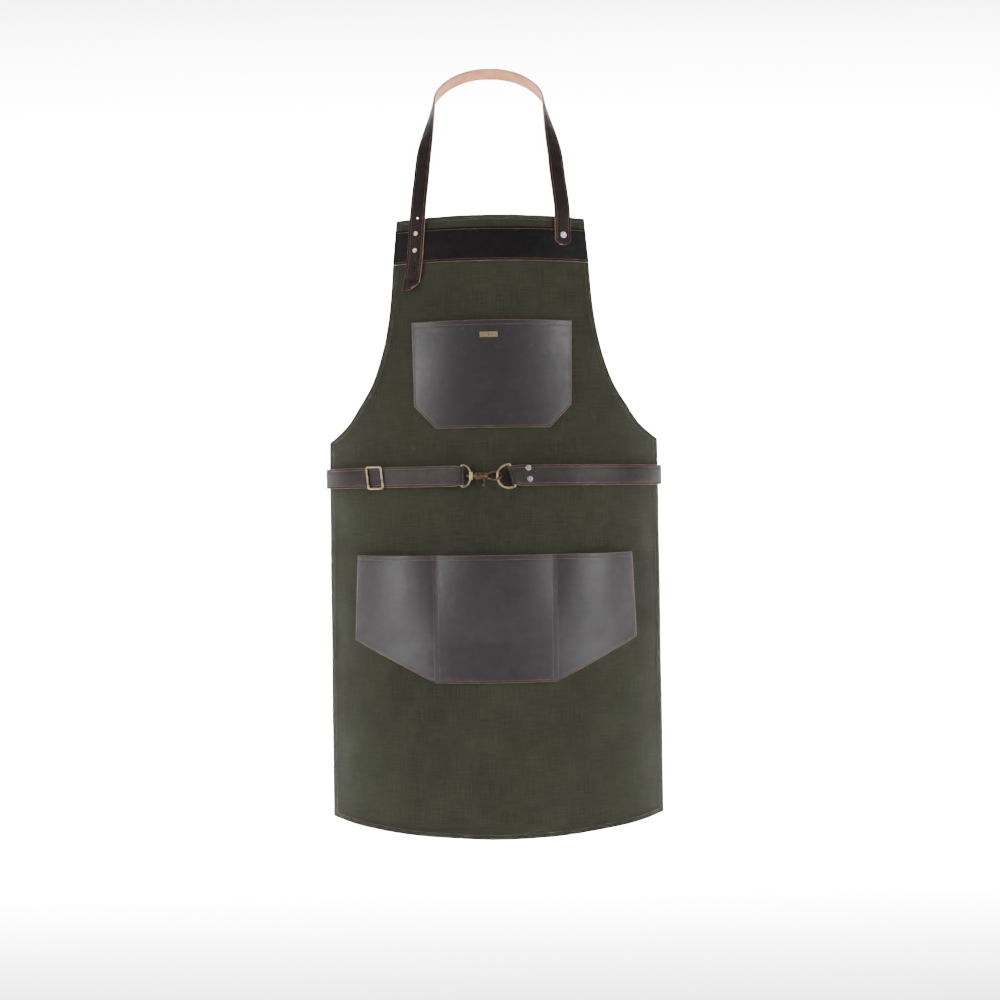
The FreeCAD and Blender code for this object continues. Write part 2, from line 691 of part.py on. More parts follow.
def make_slide():
    place = slide_frame_placement()
    wire = size["slide_wire"]
    x, y, slant = size["slide_wide"] / 2, size["slide_long"] / 2, size["slide_slant"] / 2
    corners = [V(x - slant, y, 0), V(-x - slant, y, 0), V(slant - x, -y, 0), V(x + slant, -y, 0)]
    frame = round_wire(rounded_loop(corners, size["slide_corner"]), wire)
    depth = size["belt_radius"] + size["belt_thickness"] / 2 + wire + 0.55
    bar_level = (size["shell_radius"] + 0.35 + 0.7) - depth
    frame.Placement = place
    feature("slide_frame", frame)
    half = size["slide_long"] / 2
    bar = Part.makeBox(size["slide_bar_width"], 2 * half + 2 * wire, size["slide_bar_thickness"])
    bar.translate(V(-size["slide_bar_width"] / 2, -half - wire, bar_level))
    leg = 0.8
    legs = [Part.makeCylinder(leg, -bar_level, V(0, sign * (half + wire - leg), bar_level))
            for sign in (-1, 1)]
    bar = bar.fuse(legs[0]).fuse(legs[1])
    bar.Placement = place
    bar = bar.cut(frame)
    feature("slide_bar", bar.Solids[0])
    low, high = size["belt_z"] - size["belt_width"] / 2, size["belt_z"] + size["belt_width"] / 2
    inner = size["shell_radius"] + 0.35
    middle = math.radians(size["slide_angle"])
    strip = sector(inner, inner + size["return_thickness"], middle, low, high, 0)
    strip = strip.common(Part.makeBox(400, 400, 100, V(-400 - size["return_end"], -300, low)))
    loop = Part.makeBox(size["slide_bar_width"] + 3.4, size["belt_width"], 2.8)
    loop.translate(V(-size["slide_bar_width"] / 2 - 1.7, -size["belt_width"] / 2,
                     bar_level - 0.7))
    hole = Part.makeBox(size["slide_bar_width"] + 0.4, 3 * half, size["slide_bar_thickness"] + 0.2)
    hole.translate(V(-size["slide_bar_width"] / 2 - 0.2, -1.5 * half, bar_level - 0.1))
    for shape in (loop, hole):
        shape.Placement = place.multiply(shape.Placement)
    tab = strip.fuse(loop).cut(hole)
    tab = tab.common(sector(inner, inner + 2.8, middle + 0.1, low, high, 0))
    feature("belt_return", max(tab.Solids, key=lambda piece: piece.Volume))


# ---------------------------------------------------------------- swivel eye, hook, gate, D-ring

def hook_placement():
    """The hook's own axes: x along the belt, y up across the hook, z out of its face."""
    twist = FreeCAD.Rotation(V(1, 0, 0), 90.0 - size["hook_twist"])
    return FreeCAD.Placement(V(0, HARDWARE_Y, HOOK_Z), twist)


def make_eye():
    x, half, depth = size["eye_x"], size["eye_half"], size["eye_depth"]
    corner = size["eye_corner"]
    hub = V(x + corner, 0, 0)
    path = [Part.makeLine(V(x, 0, corner - half), V(x, 0, half - corner))]
    path.append(Part.Arc(V(x, 0, half - corner),
                         V(x + corner * (1 - math.sqrt(0.5)), 0,
                           half - corner * (1 - math.sqrt(0.5))), hub + V(0, 0, half)).toShape())
    reach = depth - corner
    bow = Part.Ellipse(hub + V(0, 0, half), hub + V(reach, 0, 0), hub)
    top = Part.Arc(bow, 0, math.pi).toShape()
    if (top.valueAt((top.FirstParameter + top.LastParameter) / 2) - hub).x < 0:
        top = Part.Arc(bow, math.pi, 2 * math.pi).toShape()
    path.append(top)
    path.append(Part.Arc(hub - V(0, 0, half),
                         V(x + corner * (1 - math.sqrt(0.5)), 0,
                           -half + corner * (1 - math.sqrt(0.5))),
                         V(x, 0, corner - half)).toShape())
    path = Part.__sortEdges__(path)
    ring = round_wire(path, size["eye_wire"])
    barrel = Part.makeCylinder(size["barrel_radius"], size["barrel_length"],
                               V(x + depth, 0, -size["barrel_length"] / 2))
    barrel = barrel.makeFillet(1.4, [edge for edge in barrel.Edges if edge.Closed])
    hole = Part.makeCylinder(size["shaft_radius"] + size["shaft_clear"], 14,
                             V(x + depth - 7, 0, 0), V(1, 0, 0))
    shape = ring.fuse(barrel).cut(hole).removeSplitter()
    shape.Placement = FreeCAD.Placement(V(0, HARDWARE_Y, HOOK_Z), FreeCAD.Rotation())
    feature("swivel_eye", shape.Solids[0])


def make_shaft():
    along = V(1, 0, 0)
    base = V(size["shaft_left"], HARDWARE_Y, HOOK_Z)
    rod = bound("Part::Cylinder", "shaft_rod", facing(base, along), Radius="sizes.shaft_radius",
                Height="sizes.shaft_right - sizes.shaft_left")
    head = bound("Part::Cylinder", "shaft_flange", facing(base - along, along),
                 Radius="sizes.shaft_head", Height="1.6")
    joined = doc.addObject("Part::Fuse", "swivel_shaft")
    joined.Base = rod
    joined.Tool = head
    keep("swivel_shaft", joined)


def hook_arc(start, end):
    """Part of the hook's oval, between two angles in degrees anticlockwise from +x."""
    spots = []
    count = 10
    for index in range(count + 1):
        angle = math.radians(start + (end - start) * index / count)
        spots.append(V(size["hook_x"] + size["hook_long"] * math.cos(angle),
                       size["hook_high"] * math.sin(angle), 0))
    return spots


def make_hook_body():
    left, right, half = size["body_left"], size["body_right"], size["body_half"]
    thick = size["body_thick"]
    outline = [V(left, -half * 0.62, 0), V(left + 3, -half, 0), V(right, -half, 0),
               V(right + 2.0, 1.0, 0), V(right + 2.0, half * 0.9, 0), V(left + 3, half, 0),
               V(left, half * 0.62, 0)]
    blank = Part.Face(Part.makePolygon(outline + outline[:1])).extrude(V(0, 0, thick))
    blank.translate(V(0, 0, -thick / 2))
    blank = blank.makeFillet(1.1, [edge for edge in blank.Edges
                                   if abs(edge.CenterOfMass.z) > thick / 2 - 0.01])
    pivot = V(size["pivot_x"], size["pivot_w"], 0)
    ear = Part.makeCylinder(size["pivot_ear"], thick - 0.6, pivot - V(0, 0, thick / 2 - 0.3))
    spots = [V(right, 2.6, 0), V(right + 3.0, 3.4, 0)] + hook_arc(146, size["nose_angle"])
    curve = Part.BSplineCurve()
    curve.interpolate(spots)
    arm = round_wire([curve.toShape()], size["hook_wire"])
    nose = Part.makeSphere(size["hook_wire"], spots[-1])
    shape = blank.fuse(ear).fuse(arm).fuse(nose)
    gap = size["fork_gap"]
    slot = Part.makeBox(9.0, 8.4, gap, V(pivot.x - 3.8, pivot.y - 4.6, -gap / 2))
    socket = Part.makeCylinder(size["shaft_radius"], size["shaft_right"] - left,
                               V(left, 0, 0), V(1, 0, 0))
    pin = Part.makeCylinder(size["pin_wire"], thick, pivot - V(0, 0, thick / 2))
    shape = shape.cut(slot).cut(socket).cut(pin).removeSplitter()
    shape.Placement = hook_placement()
    feature("hook_body", max(shape.Solids, key=lambda piece: piece.Volume))


def make_gate():
    pivot = V(size["pivot_x"], size["pivot_w"], 0)
    thick = size["gate_thick"]
    hub = Part.makeCylinder(2.5, thick, pivot - V(0, 0, thick / 2))
    spots = [pivot, pivot + V(3.4, -1.9, 0)] + hook_arc(222, 360 + size["gate_tip"])
    curve = Part.BSplineCurve()
    curve.interpolate(spots)
    arm = round_wire([curve.toShape()], size["gate_wire"])
    tip = V(size["lever_x"], size["lever_w"], 0)
    stem = Part.makeCone(1.2, 1.7, (tip - pivot).Length, pivot, tip - pivot)
    knob = Part.makeSphere(1.7, tip)
    bore = Part.makeCylinder(size["pin_wire"] + 0.2, 20, pivot - V(0, 0, 10))
    shape = hub.fuse(arm).fuse(stem).fuse(knob).cut(bore).removeSplitter()
    shape.Placement = hook_placement()
    feature("gate", max(shape.Solids, key=lambda piece: piece.Volume))


def make_gate_fittings():
    place = hook_placement()
    pivot = V(size["pivot_x"], size["pivot_w"], 0)
    pin_base = place.multVec(pivot - V(0, 0, size["body_thick"] / 2))
    out = place.Rotation.multVec(UP)
    pin = bound("Part::Cylinder", "gate_pin", facing(pin_base, out), Radius="sizes.pin_wire",
                Height="sizes.body_thick")
    keep("gate_pin", pin)
    level = size["gate_thick"] / 2 + 0.5
    spring = doc.addObject("Part::Torus", "gate_spring")
    spring.Radius1 = 1.55
    spring.Radius2 = 0.28
    spring.Placement = facing(place.multVec(pivot + V(0, 0, level)), out)
    keep("gate_spring", spring)


def ring_placement():
    """The ring's own axes: x away from its bar, z along the bar, y the belt's +Y turned round."""
    axis = V(-math.sin(math.radians(size["ring_tilt"])), 0, math.cos(math.radians(size["ring_tilt"])))
    away = axis.cross(V(0, 1, 0))
    return FreeCAD.Placement(V(size["ring_x"], HARDWARE_Y, size["ring_z"]),
                             FreeCAD.Rotation(away, V(0, -1, 0), axis, "XZY"))


def make_ring():
    half, corner, reach = size["ring_half"], size["ring_corner"], size["ring_reach"]
    bow = half
    leg = reach - bow
    bend = corner * (1 - math.sqrt(0.5))
    top = V(corner, 0, half)
    path = [Part.makeLine(V(0, 0, corner - half), V(0, 0, half - corner)),
            Part.Arc(V(0, 0, half - corner), V(bend, 0, half - bend), top).toShape(),
            Part.makeLine(top, V(leg, 0, half)),
            Part.Arc(V(leg, 0, half), V(reach, 0, 0), V(leg, 0, -half)).toShape(),
            Part.makeLine(V(leg, 0, -half), V(corner, 0, -half)),
            Part.Arc(V(corner, 0, -half), V(bend, 0, bend - half), V(0, 0, corner - half)).toShape()]
    ring = round_wire(path, size["ring_wire"])
    ring.Placement = ring_placement()
    feature("d_ring", ring)


def check_and_write():
    """Stops on any failed object, then writes one STEP file for each sub-part."""
    doc.recompute()
    for obj in doc.Objects:
        if "Invalid" in obj.State or "Error" in obj.State:
            raise RuntimeError("%s failed: %s" % (obj.Name, obj.State))
    os.makedirs("parts", exist_ok=True)
    for name, obj in parts:
        shape = obj.Shape
        if shape.isNull() or not shape.isValid() or not shape.Solids:
            raise RuntimeError("%s has no valid solid" % name)
        shape.exportStep("parts/%s.step" % name)
        box = shape.BoundBox
        print("%-18s %2d solids %11.1f mm3  x %.1f %.1f  y %.1f %.1f  z %.1f %.1f" % (
            name, len(shape.Solids), shape.Volume, box.XMin, box.XMax, box.YMin, box.YMax,
            box.ZMin, box.ZMax))


make_panel()
make_band()
make_chest_pocket()
make_tool_pocket()
make_name_plate()
make_neck_strap()
make_studs()
make_neck_rivet()
make_belts()
make_slide()
make_eye()
make_shaft()
make_hook_body()
make_gate()
make_gate_fittings()
make_ring()
check_and_write()
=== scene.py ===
"""Butcher apron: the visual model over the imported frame.

Lengths are in millimetres until a mesh is made. The front faces -Y.
"""
import math
import random

import bmesh
import bpy
from mathutils import Matrix, Vector


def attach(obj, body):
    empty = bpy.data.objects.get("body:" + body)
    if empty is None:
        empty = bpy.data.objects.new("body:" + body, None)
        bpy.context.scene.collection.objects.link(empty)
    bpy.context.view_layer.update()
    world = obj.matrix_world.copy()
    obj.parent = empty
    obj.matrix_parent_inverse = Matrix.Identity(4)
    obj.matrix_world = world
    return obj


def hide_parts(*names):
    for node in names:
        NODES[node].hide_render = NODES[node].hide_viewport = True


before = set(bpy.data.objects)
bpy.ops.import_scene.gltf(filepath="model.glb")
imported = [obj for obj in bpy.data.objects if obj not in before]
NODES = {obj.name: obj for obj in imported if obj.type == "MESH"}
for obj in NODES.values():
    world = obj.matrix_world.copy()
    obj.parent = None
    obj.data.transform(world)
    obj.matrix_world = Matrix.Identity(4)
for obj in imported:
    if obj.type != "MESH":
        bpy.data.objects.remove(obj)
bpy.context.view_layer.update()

MM = 0.001
UP = Vector((0, 0, 1))

# the canvas: its outer face's radius and axis, and its outline's heights and half widths
SHELL, AXIS_Y, BIB_LEAN = 301.0, 111.0, 0.08
BIB_CORNER, BAND_SIDE, WAIST, HEM = -251.5, -317.0, -578.0, -1151.0
BIB_HALF, WAIST_HALF, HEM_HALF = 140.0, 252.0, 254.0
CROWN, HEM_BOW, HEM_INSET = 2.5, 11.0, 7.0
# leather on the canvas
LEATHER, LAYER_GAP, SEAM_GAP = 1.8, 0.1, 0.2
THREAD_INSET, MOUTH_SEAM = 3.3, 6.5
BAND_TOP, BAND_BOTTOM = -267.0, -317.5
CHEST_MOUTH, CHEST_SIDE, CHEST_BOTTOM, CHEST_SLANT = -406.0, -530.0, -563.5, 1.38
TOOL_MOUTH, TOOL_SIDE, TOOL_BOTTOM, TOOL_SLANT = -749.0, -876.0, -934.5, 2.3
DIVIDER, DIVIDER_SEAMS = 86.5, (82.7, 90.3)
# neck strap
NECK_WIDTH, NECK_THICK = 25.0, 2.4
STRAP_RADIUS = SHELL + LAYER_GAP + LEATHER + 0.4 + NECK_THICK / 2
# belt, its hardware and the slide
BELT_WIDTH, BELT_THICK, BELT_MID, BELT_Z = 30.0, 2.2, 305.6, -633.5
HARDWARE_Y, RING_TILT = -198.0, 14.5
SLIDE_ANGLE = -34.8


# -------------------- materials

class Paint:
    """A node material: add() makes a node and sets or links its inputs by name."""

    def __init__(self, name):
        self.material = bpy.data.materials.new(name)
        self.material.use_nodes = True
        self.nodes = self.material.node_tree.nodes
        self.links = self.material.node_tree.links
        self.shader = self.nodes["Principled BSDF"]

    def put(self, node, inputs):
        for name, value in inputs.items():
            key = name if isinstance(name, int) else name.replace("_", " ")
            if isinstance(value, bpy.types.NodeSocket):
                self.links.new(value, node.inputs[key])
            else:
                node.inputs[key].default_value = value

    def add(self, kind, inputs=None, **settings):
        node = self.nodes.new("ShaderNode" + kind)
        for name, value in settings.items():
            setattr(node, name, value)
        self.put(node, inputs or {})
        return node

    def space(self, which="Object"):
        return self.add("TexCoord").outputs[which]

    def noise(self, where, scale, detail=3.0, rough=0.55):
        node = self.add("TexNoise", {"Vector": where, "Scale": scale, "Detail": detail,
                                     "Roughness": rough})
        return node.outputs["Fac"]

    def stretched(self, where, x, y, z):
        return self.add("Mapping", {"Vector": where, "Scale": (x, y, z)}).outputs["Vector"]

    def math(self, operation, first, second):
        node = self.add("Math", {0: first, 1: second}, operation=operation)
        return node.outputs[0]

    def ramp(self, value, low, high, start=0.0, end=1.0):
        node = self.add("MapRange", {"Value": value, "From_Min": low, "From_Max": high,
                                     "To_Min": start, "To_Max": end})
        return node.outputs["Result"]

    def mix(self, share, first, second):
        node = self.add("Mix", {0: share, 6: first, 7: second}, data_type="RGBA")
        return node.outputs[2]

    def bump(self, height, strength, distance, normal=None):
        inputs = {"Height": height, "Strength": strength, "Distance": distance}
        if normal is not None:
            inputs["Normal"] = normal
        return self.add("Bump", inputs).outputs["Normal"]


def rgb(red, green, blue):
    return (red, green, blue, 1.0)


def canvas_paint():
    """Heavy twill: diagonal ribs over crossed yarns, and paler worn cloth along the hems."""
    paint = Paint("canvas_twill")
    uv = paint.space("UV")
    where = paint.space()
    blotch = paint.noise(where, 5.0, 3.0)
    warp = paint.noise(paint.stretched(uv, 900.0, 28.0, 1.0), 1.0, 2.0)
    weft = paint.noise(paint.stretched(uv, 28.0, 900.0, 1.0), 1.0, 2.0)
    twill = paint.add("TexWave", {"Vector": uv, "Scale": 330.0, "Distortion": 0.6, "Detail": 1.0,
                                  "Detail_Scale": 2.0}, bands_direction="DIAGONAL")
    yarns = paint.math("ADD", warp, weft)
    tone = paint.mix(paint.ramp(blotch, 0.3, 0.7), rgb(0.0320, 0.0310, 0.0225),
                     rgb(0.0375, 0.0395, 0.0262))
    shade = paint.ramp(yarns, 0.7, 1.3, 0.80, 1.18)
    ribbed = paint.math("MULTIPLY", shade, paint.ramp(twill.outputs["Fac"], 0.0, 1.0, 0.90, 1.06))
    toned = paint.add("VectorMath", {0: tone, "Scale": ribbed}, operation="SCALE").outputs[0]
    wear = paint.add("Attribute", attribute_name="wear").outputs["Fac"]
    frayed = paint.math("MULTIPLY", wear, paint.ramp(paint.noise(where, 260.0, 4.0), 0.35, 0.75))
    colour = paint.mix(paint.math("MULTIPLY", frayed, 0.55), toned, rgb(0.075, 0.070, 0.052))
    height = paint.math("ADD", paint.math("MULTIPLY", twill.outputs["Fac"], 0.6), yarns)
    normal = paint.bump(height, 0.42, 0.0003)
    soft = paint.bump(paint.noise(where, 18.0, 4.0), 0.22, 0.004, normal)
    paint.put(paint.shader, {"Base_Color": colour, "Roughness": 0.88, "Normal": soft,
                             "Sheen_Weight": 0.02, "Sheen_Roughness": 0.5,
                             "Specular_IOR_Level": 0.15})
    return paint.material


def leather_paint(name, dark, light, rough_low, rough_high, coat, shine):
    """Oiled leather: pebbled grain, soft creases, rubbed patches and uneven gloss."""
    paint = Paint(name)
    where = paint.space()
    pebble = paint.add("TexVoronoi", {"Vector": where, "Scale": 900.0}, feature="SMOOTH_F1")
    fine = paint.noise(where, 1500.0, 3.0)
    crease = paint.noise(paint.stretched(where, 1.0, 1.0, 2.2), 55.0, 5.0, 0.62)
    patch = paint.math("ADD", paint.math("MULTIPLY", paint.noise(where, 14.0, 4.0), 0.6),
                       paint.math("MULTIPLY", paint.noise(where, 75.0, 5.0, 0.65), 0.4))
    colour = paint.mix(paint.ramp(patch, 0.38, 0.64), rgb(*dark), rgb(*light))
    scuffed = paint.ramp(paint.noise(where, 95.0, 6.0, 0.7), 0.60, 0.78, 0.0, 0.35)
    rubbed = paint.mix(scuffed, colour, rgb(*[min(1.0, 2.3 * part) for part in light]))
    gloss = paint.ramp(paint.math("ADD", patch, paint.math("MULTIPLY", crease, 0.5)), 0.5, 1.0,
                       rough_high, rough_low)
    grain = paint.math("ADD", pebble.outputs["Distance"], paint.math("MULTIPLY", fine, 0.35))
    normal = paint.bump(grain, 0.30, 0.0004)
    folded = paint.bump(crease, 0.30, 0.0016, normal)
    paint.put(paint.shader, {"Base_Color": rubbed, "Roughness": gloss, "Normal": folded,
                             "Specular_IOR_Level": shine, "Coat_Weight": coat,
                             "Coat_Roughness": 0.38})
    return paint.material


def raw_paint(name, dark, light, scale):
    """Undyed leather, as on a cut edge or the flesh side: fibres and blotches, no gloss."""
    paint = Paint(name)
    where = paint.space()
    fibre = paint.noise(paint.stretched(where, 1.0, 1.0, 0.4), scale, 6.0, 0.7)
    patch = paint.noise(where, 40.0, 4.0)
    blend = paint.ramp(paint.math("ADD", fibre, patch), 0.7, 1.3)
    colour = paint.mix(blend, rgb(*dark), rgb(*light))
    normal = paint.bump(fibre, 0.5, 0.0004)
    paint.put(paint.shader, {"Base_Color": colour, "Roughness": 0.82, "Normal": normal,
                             "Specular_IOR_Level": 0.25, "Sheen_Weight": 0.1})
    return paint.material


def metal_paint(name, bright, tarnish, low, high, rough_low, rough_high, scratch):
    """Plated metal: tarnish in patches, rubbed highlights, fine scratches."""
    paint = Paint(name)
    where = paint.space()
    patch = paint.noise(where, 160.0, 5.0, 0.65)
    speck = paint.noise(where, 1100.0, 4.0, 0.7)
    dull = paint.ramp(paint.math("ADD", patch, paint.math("MULTIPLY", speck, 0.35)), low, high)
    edge = paint.add("NewGeometry").outputs["Pointiness"]
    rubbed = paint.ramp(edge, 0.50, 0.56, 0.0, 0.7)
    kept = paint.math("MULTIPLY", dull, paint.math("SUBTRACT", 1.0, rubbed))
    colour = paint.mix(kept, rgb(*bright), rgb(*tarnish))
    gloss = paint.ramp(kept, 0.0, 1.0, rough_low, rough_high)
    lines = paint.noise(paint.stretched(where, 1.0, 1.0, 14.0), 420.0, 3.0)
    normal = paint.bump(lines, scratch, 0.0002)
    paint.put(paint.shader, {"Base_Color": colour, "Metallic": 1.0, "Roughness": gloss,
                             "Normal": normal})
    return paint.material


def thread_paint(name, dark, light):
    """Waxed thread: two-ply twist and uneven dye."""
    paint = Paint(name)
    where = paint.space()
    ply = paint.add("TexWave", {"Vector": where, "Scale": 520.0, "Distortion": 1.0},
                    bands_direction="DIAGONAL")
    patch = paint.noise(where, 120.0, 3.0)
    colour = paint.mix(paint.ramp(patch, 0.3, 0.7), rgb(*dark), rgb(*light))
    normal = paint.bump(ply.outputs["Fac"], 0.5, 0.0002)
    paint.put(paint.shader, {"Base_Color": colour, "Roughness": 0.7, "Normal": normal,
                             "Sheen_Weight": 0.2})
    return paint.material


CANVAS = canvas_paint()
POCKET = leather_paint("pocket_leather", (0.0090, 0.0068, 0.0085), (0.0165, 0.0122, 0.0155),
                       0.34, 0.53, 0.10, 0.60)
STRAP = leather_paint("strap_leather", (0.0125, 0.0075, 0.0068), (0.022, 0.0130, 0.0118),
                      0.44, 0.62, 0.0, 0.15)
BELT = leather_paint("belt_leather", (0.0125, 0.0078, 0.0072), (0.024, 0.0145, 0.0132),
                     0.40, 0.58, 0.02, 0.30)
BAND = leather_paint("band_leather", (0.0065, 0.0058, 0.0058), (0.0115, 0.0100, 0.0100),
                     0.46, 0.62, 0.0, 0.10)
EDGE = raw_paint("leather_cut_edge", (0.17, 0.082, 0.052), (0.36, 0.20, 0.13), 700.0)
FLESH = raw_paint("leather_flesh_side", (0.27, 0.095, 0.034), (0.47, 0.185, 0.075), 420.0)
BRASS = metal_paint("antique_brass_plate", (0.66, 0.53, 0.31), (0.15, 0.105, 0.055), 0.50, 0.82,
                    0.20, 0.46, 0.12)
BRONZE = metal_paint("dark_bronze_plate", (0.32, 0.225, 0.135), (0.060, 0.042, 0.028), 0.42, 0.78,
                     0.26, 0.50, 0.15)
NICKEL = metal_paint("satin_nickel", (0.50, 0.49, 0.475), (0.20, 0.19, 0.18), 0.55, 0.95, 0.20,
                     0.40, 0.10)
SPRING = metal_paint("spring_wire", (0.62, 0.61, 0.60), (0.30, 0.29, 0.28), 0.6, 1.0, 0.25, 0.4,
                     0.1)
INLAY = metal_paint("engraved_recess", (0.10, 0.075, 0.045), (0.035, 0.028, 0.02), 0.4, 0.8, 0.45,
                    0.65, 0.1)
CANVAS_THREAD = thread_paint("canvas_thread", (0.060, 0.055, 0.040), (0.095, 0.087, 0.063))
LEATHER_THREAD = thread_paint("leather_thread", (0.120, 0.052, 0.040), (0.19, 0.085, 0.062))


# -------------------- shapes on the worn cylinder

def lean(z):
    """How far back the bib has leaned at height z."""
    return BIB_LEAN * max(z - BELT_Z, 0.0)


def on_shell(x, z, radius):
    return Vector((x, AXIS_Y - math.sqrt(radius ** 2 - x ** 2) + lean(z), z))


def polar(radius, angle, z=0.0):
    return Vector((radius * math.sin(angle), AXIS_Y - radius * math.cos(angle), z))


def outward(angle):
    return Vector((math.sin(angle), -math.cos(angle), 0))


def smooth(share):
    share = min(max(share, 0.0), 1.0)
    return share * share * (3 - 2 * share)


class Spline:
    """A natural cubic through points, by chord length."""

    def __init__(self, points):
        self.points = [Vector(point) for point in points]
        self.knots = [0.0]
        for before, after in zip(self.points, self.points[1:]):
            self.knots.append(self.knots[-1] + (after - before).length)
        count = len(points)
        zero = self.points[0] * 0
        upper, right = [0.0] * count, [zero.copy() for _ in points]
        for i in range(1, count - 1):
            before = self.knots[i] - self.knots[i - 1]
            after = self.knots[i + 1] - self.knots[i]
            pull = ((self.points[i + 1] - self.points[i]) / after
                    - (self.points[i] - self.points[i - 1]) / before) * 6
            scale = 2 * (before + after) - before * upper[i - 1]
            upper[i] = after / scale
            right[i] = (pull - right[i - 1] * before) / scale
        self.second = [zero.copy() for _ in points]
        for i in range(count - 2, 0, -1):
            self.second[i] = right[i] - self.second[i + 1] * upper[i]

    def at(self, knot):
        """(point, tangent)."""
        i = 0
        while i < len(self.knots) - 2 and knot > self.knots[i + 1]:
            i += 1
        width = self.knots[i + 1] - self.knots[i]
        b = (knot - self.knots[i]) / width
        a = 1 - b
        low, high = self.points[i], self.points[i + 1]
        bend_low, bend_high = self.second[i], self.second[i + 1]
        point = low * a + high * b
        point = point + (bend_low * (a ** 3 - a) + bend_high * (b ** 3 - b)) * (width ** 2 / 6)
        slope = (high - low) / width
        slope = slope + (bend_high * (3 * b * b - 1) - bend_low * (3 * a * a - 1)) * (width / 6)
        return point, slope.normalized()


SIDE_CURVE = Spline([(146, -317, 0), (156, -415, 0), (170, -469, 0), (183, -500, 0),
                     (200, -526, 0), (220, -553.5, 0), (252, -578, 0)])


def side_half(z):
    """The canvas's half width at height z."""
    if z >= BAND_SIDE:
        return BIB_HALF + 6 * (BIB_CORNER - z) / (BIB_CORNER - BAND_SIDE)
    if z <= WAIST:
        return WAIST_HALF + (HEM_HALF - WAIST_HALF) * (WAIST - z) / (WAIST - HEM)
    low, high = SIDE_CURVE.knots[0], SIDE_CURVE.knots[-1]
    for _ in range(36):
        middle = (low + high) / 2
        if SIDE_CURVE.at(middle)[0].y > z:
            low = middle
        else:
            high = middle
    return SIDE_CURVE.at(low)[0].x


def near_edge(distance, hem=HEM_INSET):
    """How far a turned hem stands out at a distance from its edge, dipping at its stitching."""
    rise = 0.55 * (1 - smooth((distance - hem - 0.6) / 3.0))
    dip = 0.50 * math.exp(-((distance - hem) / 0.9) ** 2)
    return rise - dip


def wave(x, z):
    """The canvas's slow folds: most at the hem, a slack line at the waist."""
    fall = smooth((-960 - z) / 190)
    folds = math.sin(x / 31.0 + 0.6) + 0.6 * math.sin(x / 17.0 + 2.1) + 0.5 * math.sin(x / 57.0)
    out = fall * (1.5 * folds - 0.6)
    slack = math.exp(-((z + 600) / 28) ** 2) * smooth((190 - abs(x)) / 80)
    out -= slack * 0.7 * (1 + math.sin(x / 38.0 + z / 19.0))
    open_cloth = smooth((-335 - z) / 25) * smooth((z + 400) / 25)
    out -= open_cloth * 0.5 * (1 + math.sin(x / 26.0 + z / 41.0))
    side = smooth((abs(x) - 214) / 25) * smooth((-665 - z) / 40)
    out += side * 1.1 * math.sin(z / 33.0 + (0.9 if x > 0 else 0.0)) * (1 - fall)
    return out


# -------------------- mesh making

def finish_mesh(name, verts, faces, which, paints, uvs=None, wear=None, angle=38.0, tidy=True):
    mesh = bpy.data.meshes.new(name)
    mesh.from_pydata([Vector(vert) * MM for vert in verts], [], faces)
    for paint in paints:
        mesh.materials.append(paint)
    mesh.polygons.foreach_set("material_index", which)
    if wear is not None:
        layer = mesh.attributes.new("wear", "FLOAT", "POINT")
        layer.data.foreach_set("value", wear)
    if uvs is not None:
        layer = mesh.uv_layers.new(name="flat")
        for loop in mesh.loops:
            u, v = uvs[loop.vertex_index]
            layer.data[loop.index].uv = (u * MM, v * MM)
    if tidy:
        work = bmesh.new()
        work.from_mesh(mesh)
        bmesh.ops.recalc_face_normals(work, faces=work.faces)
        work.to_mesh(mesh)
        work.free()
    mesh.polygons.foreach_set("use_smooth", [True] * len(mesh.polygons))
    mesh.set_sharp_from_angle(angle=math.radians(angle))
    mesh.update()
    obj = bpy.data.objects.new(name, mesh)
    bpy.context.scene.collection.objects.link(obj)
    return obj


def wall(name, grid, lay, thick, paints, extra, border=0.45, body="root"):
    """A closed layer of grid[row][column] = (x, z), laid by lay(x, z, offset), moved by extra."""
    rows, columns = len(grid), len(grid[0])
    verts, uvs, wear = [], [], []
    for face in (1, 0):
        for r, line in enumerate(grid):
            for c, (x, z) in enumerate(line):
                rim = r in (0, rows - 1) or c in (0, columns - 1)
                offset = (thick - border if rim else thick) if face else 0.0
                offset = extra(x, z, face, offset)
                verts.append(lay(x, z, offset))
                uvs.append((SHELL * math.asin(x / SHELL), z))
                wear.append(1.0 if rim else (0.55 if min(r, c, rows - 1 - r, columns - 1 - c) < 8
                                             else 0.0))
    faces, which = [], []
    size = rows * columns
    for r in range(rows - 1):
        for c in range(columns - 1):
            a = r * columns + c
            rim = r in (0, rows - 2) or c in (0, columns - 2)
            faces.append((a, a + 1, a + columns + 1, a + columns))
            which.append(1 if rim else 0)
            b = a + size
            faces.append((b, b + columns, b + columns + 1, b + 1))
            which.append(2)
    loop = list(range(columns))
    loop += [r * columns + columns - 1 for r in range(1, rows)]
    loop += [(rows - 1) * columns + c for c in range(columns - 2, -1, -1)]
    loop += [r * columns for r in range(rows - 2, 0, -1)]
    for first, second in zip(loop, loop[1:] + loop[:1]):
        faces.append((first, first + size, second + size, second))
        which.append(1)
    obj = finish_mesh(name, verts, faces, which, paints, uvs, wear)
    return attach(obj, body)


def spread(start, end, step):
    """Evenly spaced values from start to end, both included."""
    count = max(1, round(abs(end - start) / step))
    return [start + (end - start) * i / count for i in range(count + 1)]


def mirrored(right):
    """A whole row of x from its right half, which starts at 0."""
    return [-x for x in right[:0:-1]] + right


